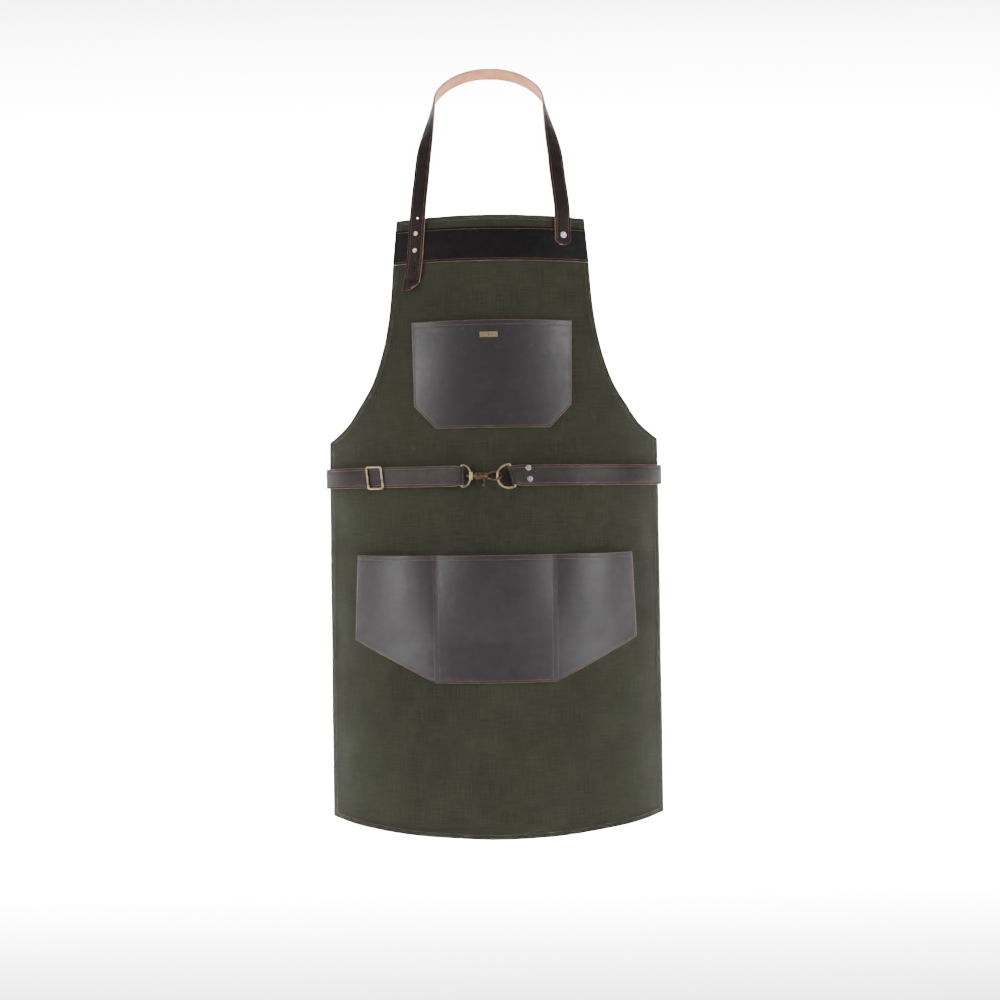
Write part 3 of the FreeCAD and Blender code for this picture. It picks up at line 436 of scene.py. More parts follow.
def profile(width, thick, inset=3.6):
    """A strap's section: (across, normal, kind of the face that follows), clockwise."""
    half, top = width / 2, thick / 2
    chamfer = 0.42
    outer = [(-half, top - 0.5, 1), (-half + chamfer, top, 0),
             (-half + inset - 1.0, top + 0.05, 0), (-half + inset, top - 0.16, 0), (-half + inset + 1.2, top + 0.06, 0),
             (-half * 0.35, top + 0.1, 0), (half * 0.35, top + 0.1, 0),
             (half - inset - 1.2, top + 0.06, 0), (half - inset, top - 0.16, 0),
             (half - inset + 1.0, top + 0.05, 0), (half - chamfer, top, 1)]
    return outer + [(half, top - 0.5, 1), (half, -top + 0.35, 1), (half - 0.4, -top, 2),
                    (0.0, -top, 2), (-half + 0.4, -top, 1), (-half, -top + 0.35, 1)]


def strap_faces(count, section):
    """The walls between a strap's stations and a cap at each end, with each face's paint."""
    faces, which = [], []
    ring = len(section)
    for i in range(count - 1):
        for j in range(ring):
            a, b = i * ring + j, i * ring + (j + 1) % ring
            faces.append((a, b, b + ring, a + ring))
            which.append(section[j][2])
    last = (count - 1) * ring
    faces.append(tuple(range(ring)))
    faces.append(tuple(last + j for j in range(ring - 1, -1, -1)))
    return faces, which + [1, 1]


def strap(name, stations, width, thick, paints, body="root", shape=None):
    """A strap along stations of (point, outward normal, width direction)."""
    section = profile(width, thick)
    verts, uvs = [], []
    run = 0.0
    for i, (point, normal, along) in enumerate(stations):
        if i:
            run += (point - stations[i - 1][0]).length
        for across, out, _ in section:
            spot = point + along * across + normal * out
            if shape is not None:
                spot = shape(run, spot, across, along)
            verts.append(spot)
            uvs.append((run, across + (40 if out < 0 else 0)))
    faces, which = strap_faces(len(stations), section)
    obj = finish_mesh(name, verts, faces, which, paints, uvs)
    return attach(obj, body)


def sew(name, tracks, paint, body="root", pitch=3.2, length=1.9, radius=0.48, seed=1):
    """Thread stitches along tracks of (point, normal): plump in the middle, sunk at both ends."""
    dice = random.Random(seed)
    verts, faces = [], []
    sides = 6
    for track in tracks:
        total = 0.0
        marks = [0.0]
        for (a, _), (b, _) in zip(track, track[1:]):
            total += (b - a).length
            marks.append(total)
        count = int(total / pitch)
        if count < 1:
            continue
        gap = total / count
        at = 0
        for stitch in range(count):
            middle = gap * (stitch + 0.5)
            while at < len(marks) - 2 and marks[at + 1] < middle:
                at += 1
            share = (middle - marks[at]) / max(marks[at + 1] - marks[at], 1e-6)
            (p, n), (q, m) = track[at], track[at + 1]
            centre = p.lerp(q, share)
            normal = n.lerp(m, share).normalized()
            heading = (q - p).normalized()
            across = normal.cross(heading).normalized()
            heading = heading + across * dice.uniform(-0.10, 0.10)
            half = length / 2 * dice.uniform(0.93, 1.05)
            base = len(verts)
            for step, swell, sink in ((-1.0, 0.45, -0.5), (-0.72, 0.9, 0.05), (-0.3, 1.0, 0.28),
                                      (0.3, 1.0, 0.28), (0.72, 0.9, 0.05), (1.0, 0.45, -0.5)):
                for side in range(sides):
                    turn = 2 * math.pi * side / sides
                    ring = across * math.cos(turn) + normal * math.sin(turn) * 0.8
                    verts.append(centre + heading * (half * step) + normal * (sink * radius)
                                 + ring * (radius * swell))
            for r in range(5):
                for side in range(sides):
                    a = base + r * sides + side
                    b = base + r * sides + (side + 1) % sides
                    faces.append((a, b, b + sides, a + sides))
            faces.append(tuple(base + side for side in range(sides - 1, -1, -1)))
            faces.append(tuple(base + 5 * sides + side for side in range(sides)))
    obj = finish_mesh(name, verts, faces, [0] * len(faces), [paint], angle=80.0, tidy=False)
    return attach(obj, body)


# -------------------- canvas panel

EDGE_STEPS = [0.0, 0.6, 1.6, 3.2, 5.0, 6.0, 6.6, 7.0, 7.4, 8.2, 9.6, 11.5, 14.0, 20.0]


def slope_stretch(z):
    """How much wider a hem looks, measured level, where the side slopes."""
    if z > -320 or z < -577:
        return 1.0
    slope = (side_half(z - 2) - side_half(z + 2)) / 4
    return min(math.sqrt(1 + slope * slope), 1.7)


def canvas_grid():
    middle = spread(0.0, 1.0, 1.0 / 46)
    side_z = [BIB_CORNER - step for step in EDGE_STEPS]
    side_z += spread(-275.0, WAIST, 5.0)[1:]
    side_z += [-579.5, -582.0] + spread(-586.0, -1131.0, 6.0)[1:]
    side_z += [HEM + step for step in reversed(EDGE_STEPS)]
    side_z = sorted(set(side_z), reverse=True)
    grid = []
    for z in side_z:
        half = side_half(z)
        stretch = slope_stretch(z)
        edge = [half - step * stretch for step in EDGE_STEPS]
        inner = edge[-1]
        right = [inner * share for share in middle[:-1]] + edge[::-1]
        row = []
        for x in mirrored(right):
            share = (x / half) ** 2
            crown = CROWN * (1 - share) * smooth((z + 330) / 78)
            bow = HEM_BOW * (1 - share) * smooth((-880 - z) / 271)
            row.append((x, z + crown - bow))
        grid.append(row)
    return grid


def canvas_lay(x, z, offset):
    return on_shell(x, z, SHELL + offset)


def edge_distance(x, z):
    """Distance to the nearest edge of the panel, near enough for a hem."""
    across = (side_half(z) - abs(x)) / slope_stretch(z)
    share = (x / max(side_half(z), 1.0)) ** 2
    top = BIB_CORNER + CROWN * (1 - share) - z
    bottom = z - (HEM - HEM_BOW * (1 - share))
    return max(min(across, top, bottom), 0.0)


def covered(x, z):
    """1 under leather, where the cloth stays flat against it."""
    if -320 < z < -262:
        return 1.0
    if abs(x) < 120 and -567 < z < -403:
        return 1.0
    if abs(x) < 214 and -938 < z < -746:
        return 1.0
    return 0.0


def canvas_out(x, z):
    """The outer face's height above the frame's outer face."""
    distance = edge_distance(x, z)
    hem = near_edge(distance)
    if covered(x, z):
        return min(hem, 0.0) - 0.02 + min(wave(x, z), 0.0)
    ripple = 0.18 * math.sin((x + z) / 2.6) * math.exp(-((distance - 4.0) / 3.0) ** 2)
    return hem + ripple + wave(x, z)


def canvas_extra(x, z, face, offset):
    if face:
        return canvas_out(x, z) - (0.35 if edge_distance(x, z) < 0.3 else 0.0)
    hem = 1.0 * (1 - smooth((edge_distance(x, z) - 11.0) / 1.5))
    return wave(x, z) * (1 if not covered(x, z) else 0) - 1.0 - hem


canvas = wall("apron_canvas", canvas_grid(), canvas_lay, 0.0, [CANVAS, CANVAS, CANVAS],
              canvas_extra)
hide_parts("apron_panel")


def canvas_track(points, lift=0.05):
    return [(canvas_lay(x, z, canvas_out(x, z) + lift), outward(math.asin(x / SHELL)))
            for x, z in points]


def hem_tracks(inset):
    """The panel's topstitching: the top, both armholes and sides, and the hem."""
    right = []
    for z in spread(BIB_CORNER - inset, WAIST - inset * 0.6, 3.0):
        right.append((side_half(z) - inset * slope_stretch(z), z))
    lower = [(side_half(z) - inset, z) for z in spread(-580.0 - inset, HEM + inset, 3.0)]
    half_top, half_low = 140.5 - inset, HEM_HALF - inset
    top = [(x, BIB_CORNER + CROWN * (1 - (x / BIB_HALF) ** 2) - inset)
           for x in spread(-half_top, half_top, 3.0)]
    low = [(x, HEM - HEM_BOW * (1 - (x / HEM_HALF) ** 2) + inset)
           for x in spread(-half_low, half_low, 3.0)]
    tracks = [canvas_track(top), canvas_track(low)]
    for sign in (-1, 1):
        tracks.append(canvas_track([(sign * x, z) for x, z in right + lower]))
    return tracks


canvas_stitches = sew("canvas_stitches", hem_tracks(HEM_INSET), CANVAS_THREAD, seed=3, radius=0.36)


# -------------------- leather laid on the panel

RIM = [0.0, 0.45, 1.2, 2.2, 2.9, 3.3, 3.8, 4.6, 6.0, 8.0]
MOUTH_STEPS = (0.0, 0.45, 1.4, 3.0, 5.0, 6.0, 6.5, 7.0, 8.0, 10.0)


def groove(distance, at=THREAD_INSET, depth=0.20):
    """The thread's pull on the leather, at a distance from its edge."""
    return -depth * math.exp(-((distance - at) / 0.7) ** 2)


def rim_row(z, half, stretch, count):
    """A row across a piece of leather, close together along its seams."""
    side = [half - step * stretch for step in RIM]
    inner = [side[-1] * share for share in spread(0.0, 1.0, 1.0 / count)][:-1]
    return [(x, z) for x in mirrored(inner + side[::-1])]


def band_lay(x, z, offset):
    return on_shell(x, z, SHELL + LAYER_GAP + offset)


def band_grid():
    rows = [BAND_TOP - step for step in RIM] + spread(-278.0, -306.0, 4.0)
    rows += [BAND_BOTTOM + step for step in reversed(RIM)]
    return [rim_row(z, side_half(z), 1.0, 30) for z in rows]


def band_extra(x, z, face, offset):
    if not face:
        return offset
    low = min(BAND_TOP - z, z - BAND_BOTTOM)
    return offset + groove(low) + 0.05 * math.sin(x / 9.0) * math.sin(z / 7.0)


band = wall("bib_band_leather", band_grid(), band_lay, LEATHER, [BAND, EDGE, FLESH],
            band_extra)
for face in band.data.polygons:
    if face.center.z > -0.26752 and face.material_index == 1 and abs(face.center.x) < 0.139:
        face.material_index = 0
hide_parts("bib_band")


def laid(points, lay, offset):
    return [(lay(x, z, offset), outward(math.asin(x / SHELL))) for x, z in points]


band_tracks = []
for z in (-270.3, -314.2):
    reach = side_half(z) - 3.0
    band_tracks.append(laid([(x, z) for x in spread(-reach, reach, 4.0)], band_lay, LEATHER - 0.1))
band_stitches = sew("bib_band_stitches", band_tracks, LEATHER_THREAD, seed=5)


def pocket_rows(mouth, side, bottom, upper_step, lower_step):
    """A pocket's heights from its mouth down, close together along its seams."""
    rows = [mouth - step for step in MOUTH_STEPS]
    rows += spread(mouth - 6.0, side, upper_step)[2:]
    rows += spread(side, bottom + RIM[-1], lower_step)[1:]
    rows += [bottom + step for step in reversed(RIM)][1:]
    return sorted(set(rows), reverse=True)


def border_track(half, top, side, bottom, inset, stretch):
    """Down one side of a pocket, along its bottom and up the other side."""
    right = [(half(z) - inset, z) for z in spread(top, side, 3.0)]
    right += [(half(z) - inset * stretch, z) for z in spread(side, bottom + inset, 2.0)[1:]]
    low = right[-1]
    across = [(x, low[1]) for x in spread(low[0], -low[0], 3.0)][1:-1]
    return right + across + [(-x, z) for x, z in reversed(right)]


def pocket_tracks(half, lay, mouth, side, bottom, reach, slant):
    """The seam under a pocket's mouth, and the one round its sides and bottom."""
    under = [(x, mouth - MOUTH_SEAM) for x in spread(-reach, reach, 3.0)]
    border = border_track(half, mouth - 1.5, side, bottom, THREAD_INSET, slant)
    return [laid(under, lay, LEATHER - 0.12), laid(border, lay, LEATHER - 0.1)]


def chest_half(z):
    if z > CHEST_SIDE:
        return 118.0 - 2.5 * (CHEST_MOUTH - z) / 124.0
    return 115.5 - 32.0 * (CHEST_SIDE - z) / 33.5


def chest_gap(x, z):
    """How far the chest pocket's inner face stands off its seam surface."""
    share = (z - CHEST_SIDE) / 124.0
    gap = 0.3 + share * 6.7 if share > 0 else 0.02 + 0.28 * (1 + share * 124 / 33.5)
    across = min(abs(x) / 117.0, 1.0)
    bulge = max(gap, 0.0) * (1 - across ** 2)
    sag = -0.55 * math.exp(-((z + 418.5 + 6.5 * across ** 2) / 1.5) ** 2) * (0.35 + across)
    fold = (z + 545.0 - 0.35 * (x - 78.0)) / 1.6
    sag -= 0.5 * math.exp(-fold ** 2) * math.exp(-((x - 90.0) / 14.0) ** 2)
    belly = 1.1 * math.sin(math.pi * min(max(share, 0.0), 1.0)) * math.cos(math.pi * across / 2)
    dent = -0.35 * math.exp(-((x - 62) / 22) ** 2 - ((z + 470) / 26) ** 2)
    return bulge + sag + belly + dent * 0.8


def chest_lay(x, z, offset):
    return on_shell(x, z, SHELL + SEAM_GAP + max(chest_gap(x, z), 0.0) + offset)


def chest_grid():
    return [rim_row(z, chest_half(z), 1.0 if z > CHEST_SIDE else CHEST_SLANT, 34)
            for z in pocket_rows(CHEST_MOUTH, CHEST_SIDE, CHEST_BOTTOM, 3.2, 3.0)]


def chest_distance(x, z):
    side = (chest_half(z) - abs(x)) / (1.0 if z > CHEST_SIDE else CHEST_SLANT)
    return min(side, z - CHEST_BOTTOM)


def chest_extra(x, z, face, offset):
    if not face:
        return offset
    return offset + groove(chest_distance(x, z)) + groove(CHEST_MOUTH - z, MOUTH_SEAM, 0.22)


chest = wall("chest_pocket_leather", chest_grid(), chest_lay, LEATHER, [POCKET, EDGE, FLESH],
             chest_extra)
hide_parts("chest_pocket")


chest_tracks = pocket_tracks(chest_half, chest_lay, CHEST_MOUTH, CHEST_SIDE, CHEST_BOTTOM, 115.0,
                             CHEST_SLANT)
chest_stitches = sew("chest_pocket_stitches", chest_tracks, LEATHER_THREAD, seed=7)


def tool_half(z):
    if z > TOOL_SIDE:
        return 205.6 + 5.7 * (TOOL_MOUTH - z) / 127.0
    return 211.3 - 122.3 * (TOOL_SIDE - z) / 58.5


def tool_gap(x, z):
    share = min(max((z - TOOL_SIDE) / 127.0, 0.0), 1.0)
    half = 208.0
    if abs(x) < DIVIDER:
        across = abs(x) / DIVIDER
    else:
        middle = (DIVIDER + half) / 2
        across = min(abs(abs(x) - middle) / (half - middle), 1.0)
    bulge = 7.0 * share * (1 - across ** 2)
    belly = 1.2 * math.sin(math.pi * share) * (1 - across ** 2)
    return bulge + belly


def tool_lay(x, z, offset):
    return on_shell(x, z, SHELL + SEAM_GAP + max(tool_gap(x, z), 0.0) + offset)


TOOL_COLUMNS = spread(0.0, 1.0, 1.0 / 22)


def tool_grid():
    grid = []
    for z in pocket_rows(TOOL_MOUTH, TOOL_SIDE, TOOL_BOTTOM, 3.4, 2.6):
        half = tool_half(z)
        stretch = 1.0 if z > TOOL_SIDE else min(TOOL_SLANT, 1.0 + (TOOL_SIDE - z) * 0.3)
        wide = min(stretch, (half - 87.0) / 8.5) if half > 88 else 0.1
        side = [half - step * wide for step in RIM]
        inside = [84.0 * share for share in TOOL_COLUMNS]
        outside = [84.0 + (side[-1] - 84.0) * share for share in TOOL_COLUMNS][1:-1]
        right = inside + outside + side[::-1]
        grid.append([(x, z) for x in mirrored(right)])
    return grid


def tool_distance(x, z):
    side = (tool_half(z) - abs(x)) / (1.0 if z > TOOL_SIDE else TOOL_SLANT)
    return min(side, z - TOOL_BOTTOM)


def tool_extra(x, z, face, offset):
    if not face:
        return offset
    out = offset + groove(tool_distance(x, z)) + groove(TOOL_MOUTH - z, MOUTH_SEAM, 0.22)
    for line in DIVIDER_SEAMS:
        out += groove(abs(abs(x) - line), 0.0, 0.25)
    return out


tool = wall("tool_pocket_leather", tool_grid(), tool_lay, LEATHER, [POCKET, EDGE, FLESH],
            tool_extra)
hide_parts("tool_pocket")

tool_tracks = pocket_tracks(tool_half, tool_lay, TOOL_MOUTH, TOOL_SIDE, TOOL_BOTTOM, 202.0,
                            TOOL_SLANT)
for line in [-seam for seam in reversed(DIVIDER_SEAMS)] + list(DIVIDER_SEAMS):
    tool_tracks.append(laid([(line, z) for z in spread(TOOL_MOUTH - 1.5, -930.0, 3.0)], tool_lay,
                            LEATHER - 0.15))
tool_stitches = sew("tool_pocket_stitches", tool_tracks, LEATHER_THREAD, seed=9)


# -------------------- neck strap

def neck_path(side):
    if side < 0:
        lower = [(119.5, -359.0), (114.5, -330.0), (111.0, -300.0), (109.0, -270.0),
                 (106.5, -240.0)]
    else:
        lower = [(107.3, -293.0), (107.3, -270.0), (106.6, -240.0)]
    path = [(on_shell(side * x, z, STRAP_RADIUS), 0.0) for x, z in lower]
    front = path[-1][0].y
    rising = [(104.4, 9.0, -214.0, 0.0), (101.6, 21.0, -186.0, 0.02), (99.8, 37.0, -160.0, 0.05),
              (97.4, 56.0, -134.0, 0.12), (94.3, 75.0, -110.0, 0.32), (91.3, 92.0, -88.0, 0.53)]
    for x, back, z, twist in rising:
        path.append((Vector((side * x, front + back, z)), twist))
    for degrees, twist in ((90, 0.72), (76, 0.92), (62, 1.0), (48, 1.0), (34, 1.0), (20, 1.0),
                           (8, 1.0)):
        angle = math.radians(degrees)
        fall = 1 - math.cos(angle)
        path.append((Vector((side * 88.0 * math.sin(angle), -36.0 * fall, -66.0 * fall)), twist))
    return path


def neck_stations(side):
    path = neck_path(side)
    curve = Spline([point for point, _ in path])
    tilt = math.radians(65.0)
    across_back = Vector((0, -math.sin(tilt), math.cos(tilt)))
    angle = math.asin(path[3 if side < 0 else 1][0].x / STRAP_RADIUS)
    across_bib = Vector((-side * math.cos(angle), -side * math.sin(angle), 0))
    marks = [0.0, 0.6, 1.6, 3.0, 4.6, 6.4, 8.5, 11.0]
    marks += spread(14.0, curve.knots[-1], 4.0)
    rows = []
    for mark in marks:
        point, heading = curve.at(mark)
        index = 0
        while index < len(curve.knots) - 2 and mark > curve.knots[index + 1]:
            index += 1
        share = (mark - curve.knots[index]) / (curve.knots[index + 1] - curve.knots[index])
        turn = path[index][1] + (path[index + 1][1] - path[index][1]) * share
        quarter = turn * math.pi / 2
        across = across_bib * math.cos(quarter) + across_back * math.sin(quarter)
        across = (across - heading * across.dot(heading)).normalized()
        rows.append((point, heading.cross(across) * side, across))
    return rows


neck_left = neck_stations(-1)
neck_right = neck_stations(1)
neck_all = neck_left + neck_right[::-1]
neck_length = sum((b[0] - a[0]).length for a, b in zip(neck_all, neck_all[1:]))


def neck_shape(run, spot, across, along):
    """A slanted cut at the long tail and a rounded tip at the short end."""
    share = (across + NECK_WIDTH / 2) / NECK_WIDTH
    if run < 16.0:
        rise = 2.5 * share + 8.5 * share ** 4
        spot = spot + Vector((-0.12, 0, 1)) * (rise * (1 - run / 16.0))
    ahead = neck_length - run
    if ahead < 9.0:
        keep = math.sqrt(max(1 - ((9.0 - ahead) / 9.0) ** 2, 0.0))
        spot = spot - along * (across * (1 - max(keep, 0.42)))
    return spot


neck = strap("neck_strap_leather", neck_all, NECK_WIDTH, NECK_THICK, [STRAP, EDGE, FLESH],
             shape=neck_shape)


def tail_place(x, z):
    radius = STRAP_RADIUS + NECK_THICK / 2
    angle = math.asin(x / radius)
    return on_shell(x, z, radius), outward(angle)


def punch(target, places, radius):
    """Punched holes through a strap, with raw leather inside."""
    rim = 24
    verts, faces = [], []
    for point, direction in places:
        base = len(verts)
        side = direction.cross(UP).normalized()
        for depth in (-8.0, 8.0):
            for i in range(rim):
                turn = 2 * math.pi * i / rim
                verts.append(point + direction * depth
                             + (side * math.cos(turn) + UP * math.sin(turn)) * radius)
        for i in range(rim):
            j = (i + 1) % rim
            faces.append((base + i, base + j, base + rim + j, base + rim + i))
        faces.append(tuple(base + i for i in range(rim - 1, -1, -1)))
        faces.append(tuple(base + rim + i for i in range(rim)))
    paints = [EDGE, EDGE, EDGE]
    tool_object = finish_mesh(target.name + "_punch", verts, faces, [1] * len(faces), paints)
    cut = target.modifiers.new("holes", "BOOLEAN")
    cut.operation = "DIFFERENCE"
    cut.solver = "EXACT"
    cut.object = tool_object
    bpy.context.view_layer.update()
    graph = bpy.context.evaluated_depsgraph_get()
    result = bpy.data.meshes.new_from_object(target.evaluated_get(graph), depsgraph=graph)
    target.modifiers.clear()
    target.data = result
    bpy.data.objects.remove(tool_object)


punch(neck, [tail_place(-107.6, -251.1), tail_place(-113.6, -323.7), tail_place(-116.6, -343.7)],
      1.6)
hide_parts("neck_strap")


def strap_track(stations, across, out, start, end):
    """A stitch line on a strap, across from its middle and out from its middle layer."""
    points = [(point + along * across + normal * out, normal) for point, normal, along in stations]
    run, kept = 0.0, []
    total = sum((b[0] - a[0]).length for a, b in zip(points, points[1:]))
    for i, item in enumerate(points):
        if i:
            run += (item[0] - points[i - 1][0]).length
        if start <= run <= total - end:
            kept.append(item)
    return kept


def strap_tracks(stations, across, thick, start, end):
    """Stitch lines along both edges, on the grain side and then on the flesh side."""
    return [strap_track(stations, sign * across, out, start, end)
            for out in (thick / 2 - 0.05, -thick / 2 - 0.22) for sign in (-1, 1)]


neck_stitches = sew("neck_strap_stitches", strap_tracks(neck_all, 8.9, NECK_THICK, 17.0, 8.0),
                    LEATHER_THREAD, seed=11)


# -------------------- belt straps

def arc_stations(centre, radius, start, end, count, along=UP):
    rows = []
    for index in range(count + 1):
        normal = outward(start + (end - start) * index / count)
        rows.append((centre + normal * radius, normal, along))
    return rows


def belt_run(side, fold, fold_radius, tail, slant, back_y):
    """One belt strap, from its folded tail round the front, the canvas's edge and the back."""
    axis = Vector((0, AXIS_Y, BELT_Z))
    reach = (fold - axis).length
    lifted = math.asin((fold.x * side) / reach) + math.acos((BELT_MID - fold_radius) / reach)
    normal = outward(side * lifted)
    run = Vector((side * math.cos(lifted), math.sin(lifted), 0))
    apart = BELT_THICK + 0.15
    settle = 14.0
    lap = 7

    def across(share):
        eased = 1 - smooth(share)
        return Vector((-math.tan(math.radians(slant)) * eased, 0, 1)) * (1 - 0.10 * eased)

    inner = fold - normal * (apart - fold_radius)
    stations = [(inner + run * tail, normal * -1, UP)]
    for step in range(lap, 0, -1):
        share = step / lap
        offset = fold_radius + (apart - 2 * fold_radius) * smooth(share)
        stations.append((fold - normal * offset + run * (settle * share), normal * -1,
                         across(share)))
    turn = side * lifted
    stations += arc_stations(fold, fold_radius, turn - side * math.pi, turn, 20, across(0))
    outer = fold + normal * fold_radius
    for step in range(1, lap + 1):
        share = step / lap
        stations.append((outer + run * (settle * share), normal, across(share)))
    end = side * math.radians(56.65)
    stations += arc_stations(axis, BELT_MID, turn, end, 60)
    return stations + back_run(side, end, back_y)


def back_run(side, end, back_y):
    """Round the canvas's edge, across the back with a drop, and in under the far corner."""
    wrap, tuck = 5.8, 16.0
    hub = Vector((0, AXIS_Y, BELT_Z)) + outward(end) * (BELT_MID - wrap)
    inset = back_y - wrap
    centre_y = (inset ** 2 - hub.x ** 2 - hub.y ** 2) / (2 * (inset - hub.y))
    radius = back_y - centre_y
    centre = Vector((0, centre_y, BELT_Z))
    away = hub - centre
    leave = math.pi - math.asin(abs(away.x) / away.length)
    if away.y < 0:
        leave = math.asin(abs(away.x) / away.length)
    rows = arc_stations(hub, wrap, end, side * leave, 16)[1:]
    sewn_mid = SHELL - 1.0 - 0.6 - BELT_THICK / 2
    gap = AXIS_Y - centre_y
    inner = sewn_mid - tuck
    sewn = math.acos((inner ** 2 + gap ** 2 - (radius - tuck) ** 2) / (2 * inner * gap))
    far_hub = polar(inner, -side * sewn, BELT_Z)
    toward = far_hub - centre
    arrive = 2 * math.pi - math.acos(-toward.y / toward.length)
    back = arc_stations(centre, radius, side * leave, side * arrive, 78)[1:]
    tucked = arc_stations(far_hub, tuck, side * arrive, side * (2 * math.pi - sewn), 16)[1:]
    span = 45.0 / sewn_mid
    flat = [(polar(sewn_mid, -side * angle, BELT_Z), outward(-side * angle), UP)
            for angle in (sewn - span * step / 10 for step in range(1, 11))]
    moved = []
    for index, (point, normal, along) in enumerate(back + tucked + flat, start=1):
        eased = smooth(index / len(back))
        rise = 36.0 * eased
        shift = Vector((0, lean(BELT_Z + rise), rise))
        moved.append((point + shift, normal, Vector((0, BIB_LEAN * eased, 1))))
    return rows + moved


ring_aside = (-633.2 - BELT_Z) * math.tan(math.radians(RING_TILT))
right_fold = Vector((27.5 + ring_aside, HARDWARE_Y, BELT_Z))
left_fold = Vector((-46.4, HARDWARE_Y, BELT_Z))
right_stations = belt_run(1, right_fold, 1.6 + 0.5 + BELT_THICK / 2, 36.0, RING_TILT, 29.5)
left_stations = belt_run(-1, left_fold, 1.3 + 0.5 + BELT_THICK / 2, 22.0, 0.0, 23.0)

for label, stations, seed in (("belt_left", left_stations, 13),
                              ("belt_right", right_stations, 17)):
    piece = strap(label + "_leather", stations, BELT_WIDTH, BELT_THICK, [BELT, EDGE, FLESH])
    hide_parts(label)
    thread = sew(label + "_stitches", strap_tracks(stations, 11.4, BELT_THICK, 46.0, 1.0),
                 LEATHER_THREAD, seed=seed)


# -------------------- strip that travels with the slide

def return_stations():
    """From its free end, under the slide's bar, round it and back, thinned at the turn."""
    bar = math.radians(SLIDE_ANGLE)
    start = math.asin(-76.0 / 302.0)
    rows = []
    for step in range(17):
        angle = start + (bar + 0.012 - start) * step / 16
        rows.append((polar(302.35, angle, BELT_Z), outward(angle) * -1, UP, 2.0))
    for step in range(1, 5):
        share = step / 4
        angle = bar + 0.012 - 0.018 * share
        rows.append((polar(302.35 - 0.62 * smooth(share), angle, BELT_Z), outward(angle) * -1, UP,
                     2.0 - 1.3 * smooth(share)))
    return rows


def thin_strap(name, stations, width, paints, body):
    """A strap whose thickness varies along its length."""
    section = profile(width, 2.0)
    verts, uvs = [], []
    for i, (point, normal, along, thick) in enumerate(stations):
        for across, out, _ in section:
            verts.append(point + along * across + normal * (out * thick / 2.0))
            uvs.append((i * 4.0, across))
    faces, which = strap_faces(len(stations), section)
    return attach(finish_mesh(name, verts, faces, which, paints, uvs), body)


THIN, BAR_CLEAR = 0.62, 1.03
bar_middle = polar(302.75, math.radians(SLIDE_ANGLE), BELT_Z)
bar_out = outward(math.radians(SLIDE_ANGLE))
bar_along = Vector((math.cos(math.radians(-SLIDE_ANGLE)), -math.sin(math.radians(-SLIDE_ANGLE)),
                    0))
turned = []
for step in range(25):
    turn = math.radians(-90 + 7.5 * step)
    side = bar_along * -1
    spot = (bar_middle + side * (2.5 + THIN * math.cos(turn))
            + bar_out * (BAR_CLEAR * math.sin(turn)))
    normal = (side * math.cos(turn) + bar_out * math.sin(turn)).normalized()
    turned.append((spot, normal, UP, THIN))
lap_back = [(bar_middle + bar_along * offset + bar_out * BAR_CLEAR, bar_out, UP, THIN)
            for offset in (0.0, 2.4, 4.0)]
return_strip = thin_strap("belt_return_leather", return_stations() + turned + lap_back,
                          BELT_WIDTH, [BELT, EDGE, FLESH], "slide")
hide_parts("belt_return")


# -------------------- name plate's engraving

def chest_front(z):
    share = (z - CHEST_SIDE) / 124.0
    gap = 0.3 + share * 6.7
    return AXIS_Y - (SHELL + SEAM_GAP + LEATHER + gap) + lean(z)


plate_z = -427.6
rise = 10.0
tilt = -math.atan2(chest_front(plate_z + rise) - chest_front(plate_z - rise), 2 * rise)
plate_turn = Matrix.Rotation(tilt, 3, "X")
plate_middle = Vector((-4.4, chest_front(plate_z) - 0.05, plate_z))


def inlay(name, outlines):
    """Closed shallow bars on the plate's face: each outline is a list of (x, z) on the plate."""
    verts, faces = [], []
    for outline in outlines:
        base = len(verts)
        count = len(outline)
        for depth in (-0.93, -0.80):
            for x, z in outline:
                verts.append(plate_middle + plate_turn @ Vector((x, depth, z)))
        for i in range(count):
            j = (i + 1) % count
            faces.append((base + i, base + j, base + count + j, base + count + i))
        faces.append(tuple(base + i for i in range(count)))
        faces.append(tuple(base + count + i for i in range(count - 1, -1, -1)))
    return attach(finish_mesh(name, verts, faces, [0] * len(faces), [INLAY]), "root")


def bar(x0, z0, x1, z1):
    return [(x0, z0), (x1, z0), (x1, z1), (x0, z1)]


def diamond(x, half):
    return [(x - half, 0.0), (x, -half), (x + half, 0.0), (x, half)]


marks = [bar(-11.2, 2.75, 11.2, 2.95), bar(-11.2, -2.95, 11.2, -2.75),
         bar(-8.9, -0.14, -5.0, 0.14), bar(5.0, -0.14, 8.9, 0.14)]
marks += [diamond(x, 0.75) for x in (-3.6, 3.6)] + [diamond(0.0, 1.25)]
engraving = inlay("name_plate_engraving", marks)


# -------------------- frame's metal nodes

METALS = (
    (BRASS, ("name_plate", "name_plate_pins", "stud_heads", "stud_screws", "slide_frame",
             "slide_bar", "swivel_eye", "d_ring")),
    (NICKEL, ("neck_rivet_cap", "neck_rivet_post", "belt_rivet_caps", "belt_rivet_posts")),
    (BRONZE, ("swivel_shaft", "hook_body", "gate_pin", "gate")),
    (SPRING, ("gate_spring",)))
for paint, nodes in METALS:
    for node in nodes:
        mesh = NODES[node].data
        mesh.materials.clear()
        mesh.materials.append(paint)
        mesh.polygons.foreach_set("use_smooth", [True] * len(mesh.polygons))
        mesh.set_sharp_from_angle(angle=math.radians(32.0))


# -------------------- floor, light and camera

def plain_paint(name, value):
    paint = Paint(name)
    paint.put(paint.shader, {"Base_Color": rgb(value, value, value), "Roughness": 0.9,
                             "Specular_IOR_Level": 0.1})
    return paint.material


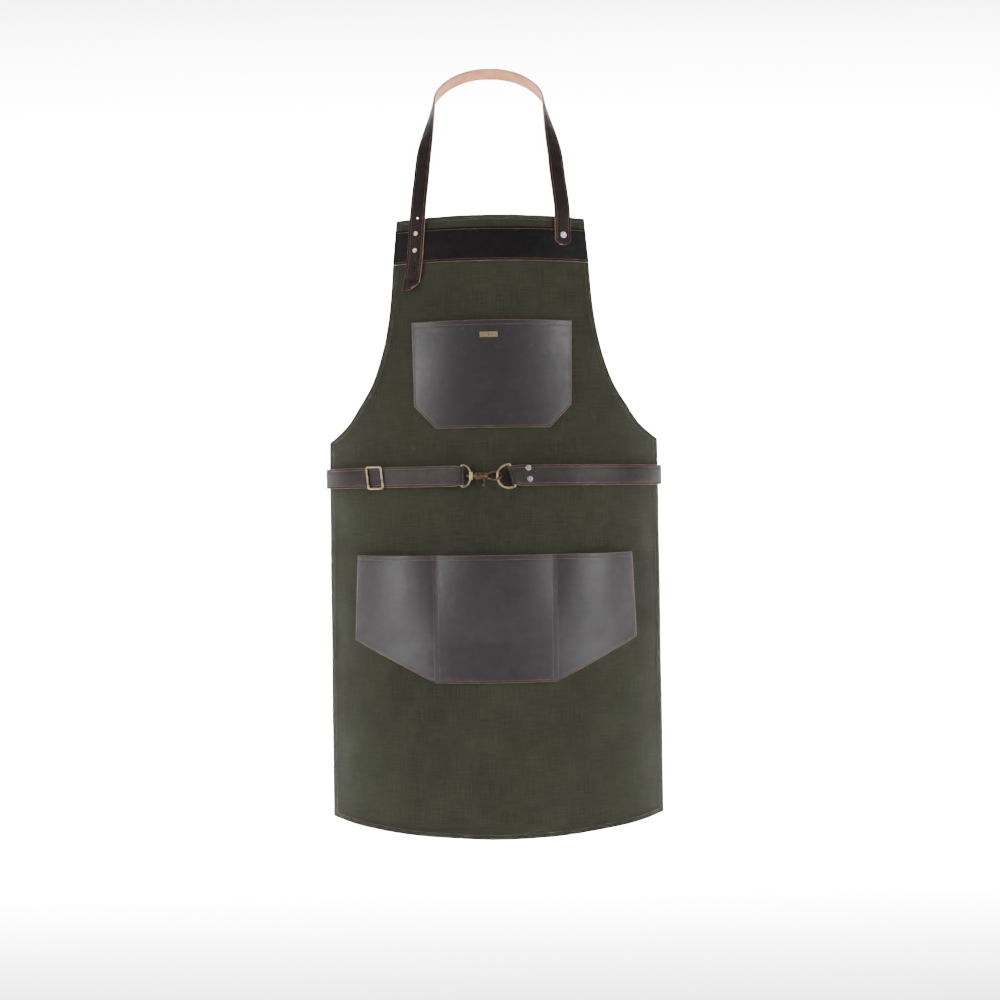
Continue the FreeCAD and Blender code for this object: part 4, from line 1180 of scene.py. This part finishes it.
# the paper in metres: flat on the floor, then up a quarter round to the back
FLOOR, TURN_Y, TURN_RADIUS = -1.60, 1.6, 1.2
sweep_rows = [(-6.0, FLOOR), (TURN_Y, FLOOR)]
sweep_rows += [(TURN_Y + TURN_RADIUS * math.sin(math.radians(degrees)),
                FLOOR + TURN_RADIUS * (1 - math.cos(math.radians(degrees))))
               for degrees in range(6, 91, 6)]
sweep_rows += [(2.8, 5.0)]
sweep_mesh = bpy.data.meshes.new("studio_sweep")
sweep_verts, sweep_faces = [], []
for y, z in sweep_rows:
    sweep_verts += [(-7.0, y, z), (7.0, y, z)]
for i in range(len(sweep_rows) - 1):
    sweep_faces.append((2 * i, 2 * i + 1, 2 * i + 3, 2 * i + 2))
sweep_mesh.from_pydata(sweep_verts, [], sweep_faces)
sweep_mesh.polygons.foreach_set("use_smooth", [True] * len(sweep_faces))
sweep_mesh.materials.append(plain_paint("studio_paper", 0.86))
sweep = bpy.data.objects.new("studio_sweep", sweep_mesh)
bpy.context.scene.collection.objects.link(sweep)


def soft_box(name, where, aim, wide, high, power, spread_degrees=180.0):
    """A rectangular light, in metres and watts, that faces aim."""
    data = bpy.data.lights.new(name, "AREA")
    data.shape = "RECTANGLE"
    data.size = wide
    data.size_y = high
    data.energy = power
    data.spread = math.radians(spread_degrees)
    obj = bpy.data.objects.new(name, data)
    obj.location = where
    obj.rotation_euler = (Vector(aim) - Vector(where)).to_track_quat("-Z", "Y").to_euler()
    bpy.context.scene.collection.objects.link(obj)


soft_box("left_box", (-2.3, -1.5, -0.35), (0, 0, -0.7), 1.0, 2.0, 43.0)
soft_box("right_box", (2.3, -1.5, -0.35), (0, 0, -0.7), 1.0, 2.0, 43.0)
soft_box("top_box", (0, -1.6, 1.7), (0, 0, -0.5), 2.2, 1.2, 9.0)
soft_box("paper_box", (0, 0.9, 1.8), (0, 2.6, -0.6), 5.0, 1.0, 1300.0, 66.0)
soft_box("floor_box", (0, 1.9, 1.5), (0, 1.9001, -1.6), 5.0, 1.2, 520.0, 60.0)

world = bpy.data.worlds.new("studio_air")
world.use_nodes = True
world.node_tree.nodes["Background"].inputs["Color"].default_value = rgb(1.0, 1.0, 1.0)
world.node_tree.nodes["Background"].inputs["Strength"].default_value = 0.50
bpy.context.scene.world = world

lens = bpy.data.cameras.new("view")
lens.sensor_width = 36.0
lens.lens = 57.1
camera = bpy.data.objects.new("view", lens)
camera.matrix_world = (Matrix.Translation((0.0087, -2.490, -0.669))
                       @ Matrix.Rotation(math.radians(90.0), 4, "X")
                       @ Matrix.Rotation(math.radians(-0.82), 4, "Z"))
bpy.context.scene.collection.objects.link(camera)
bpy.context.scene.camera = camera
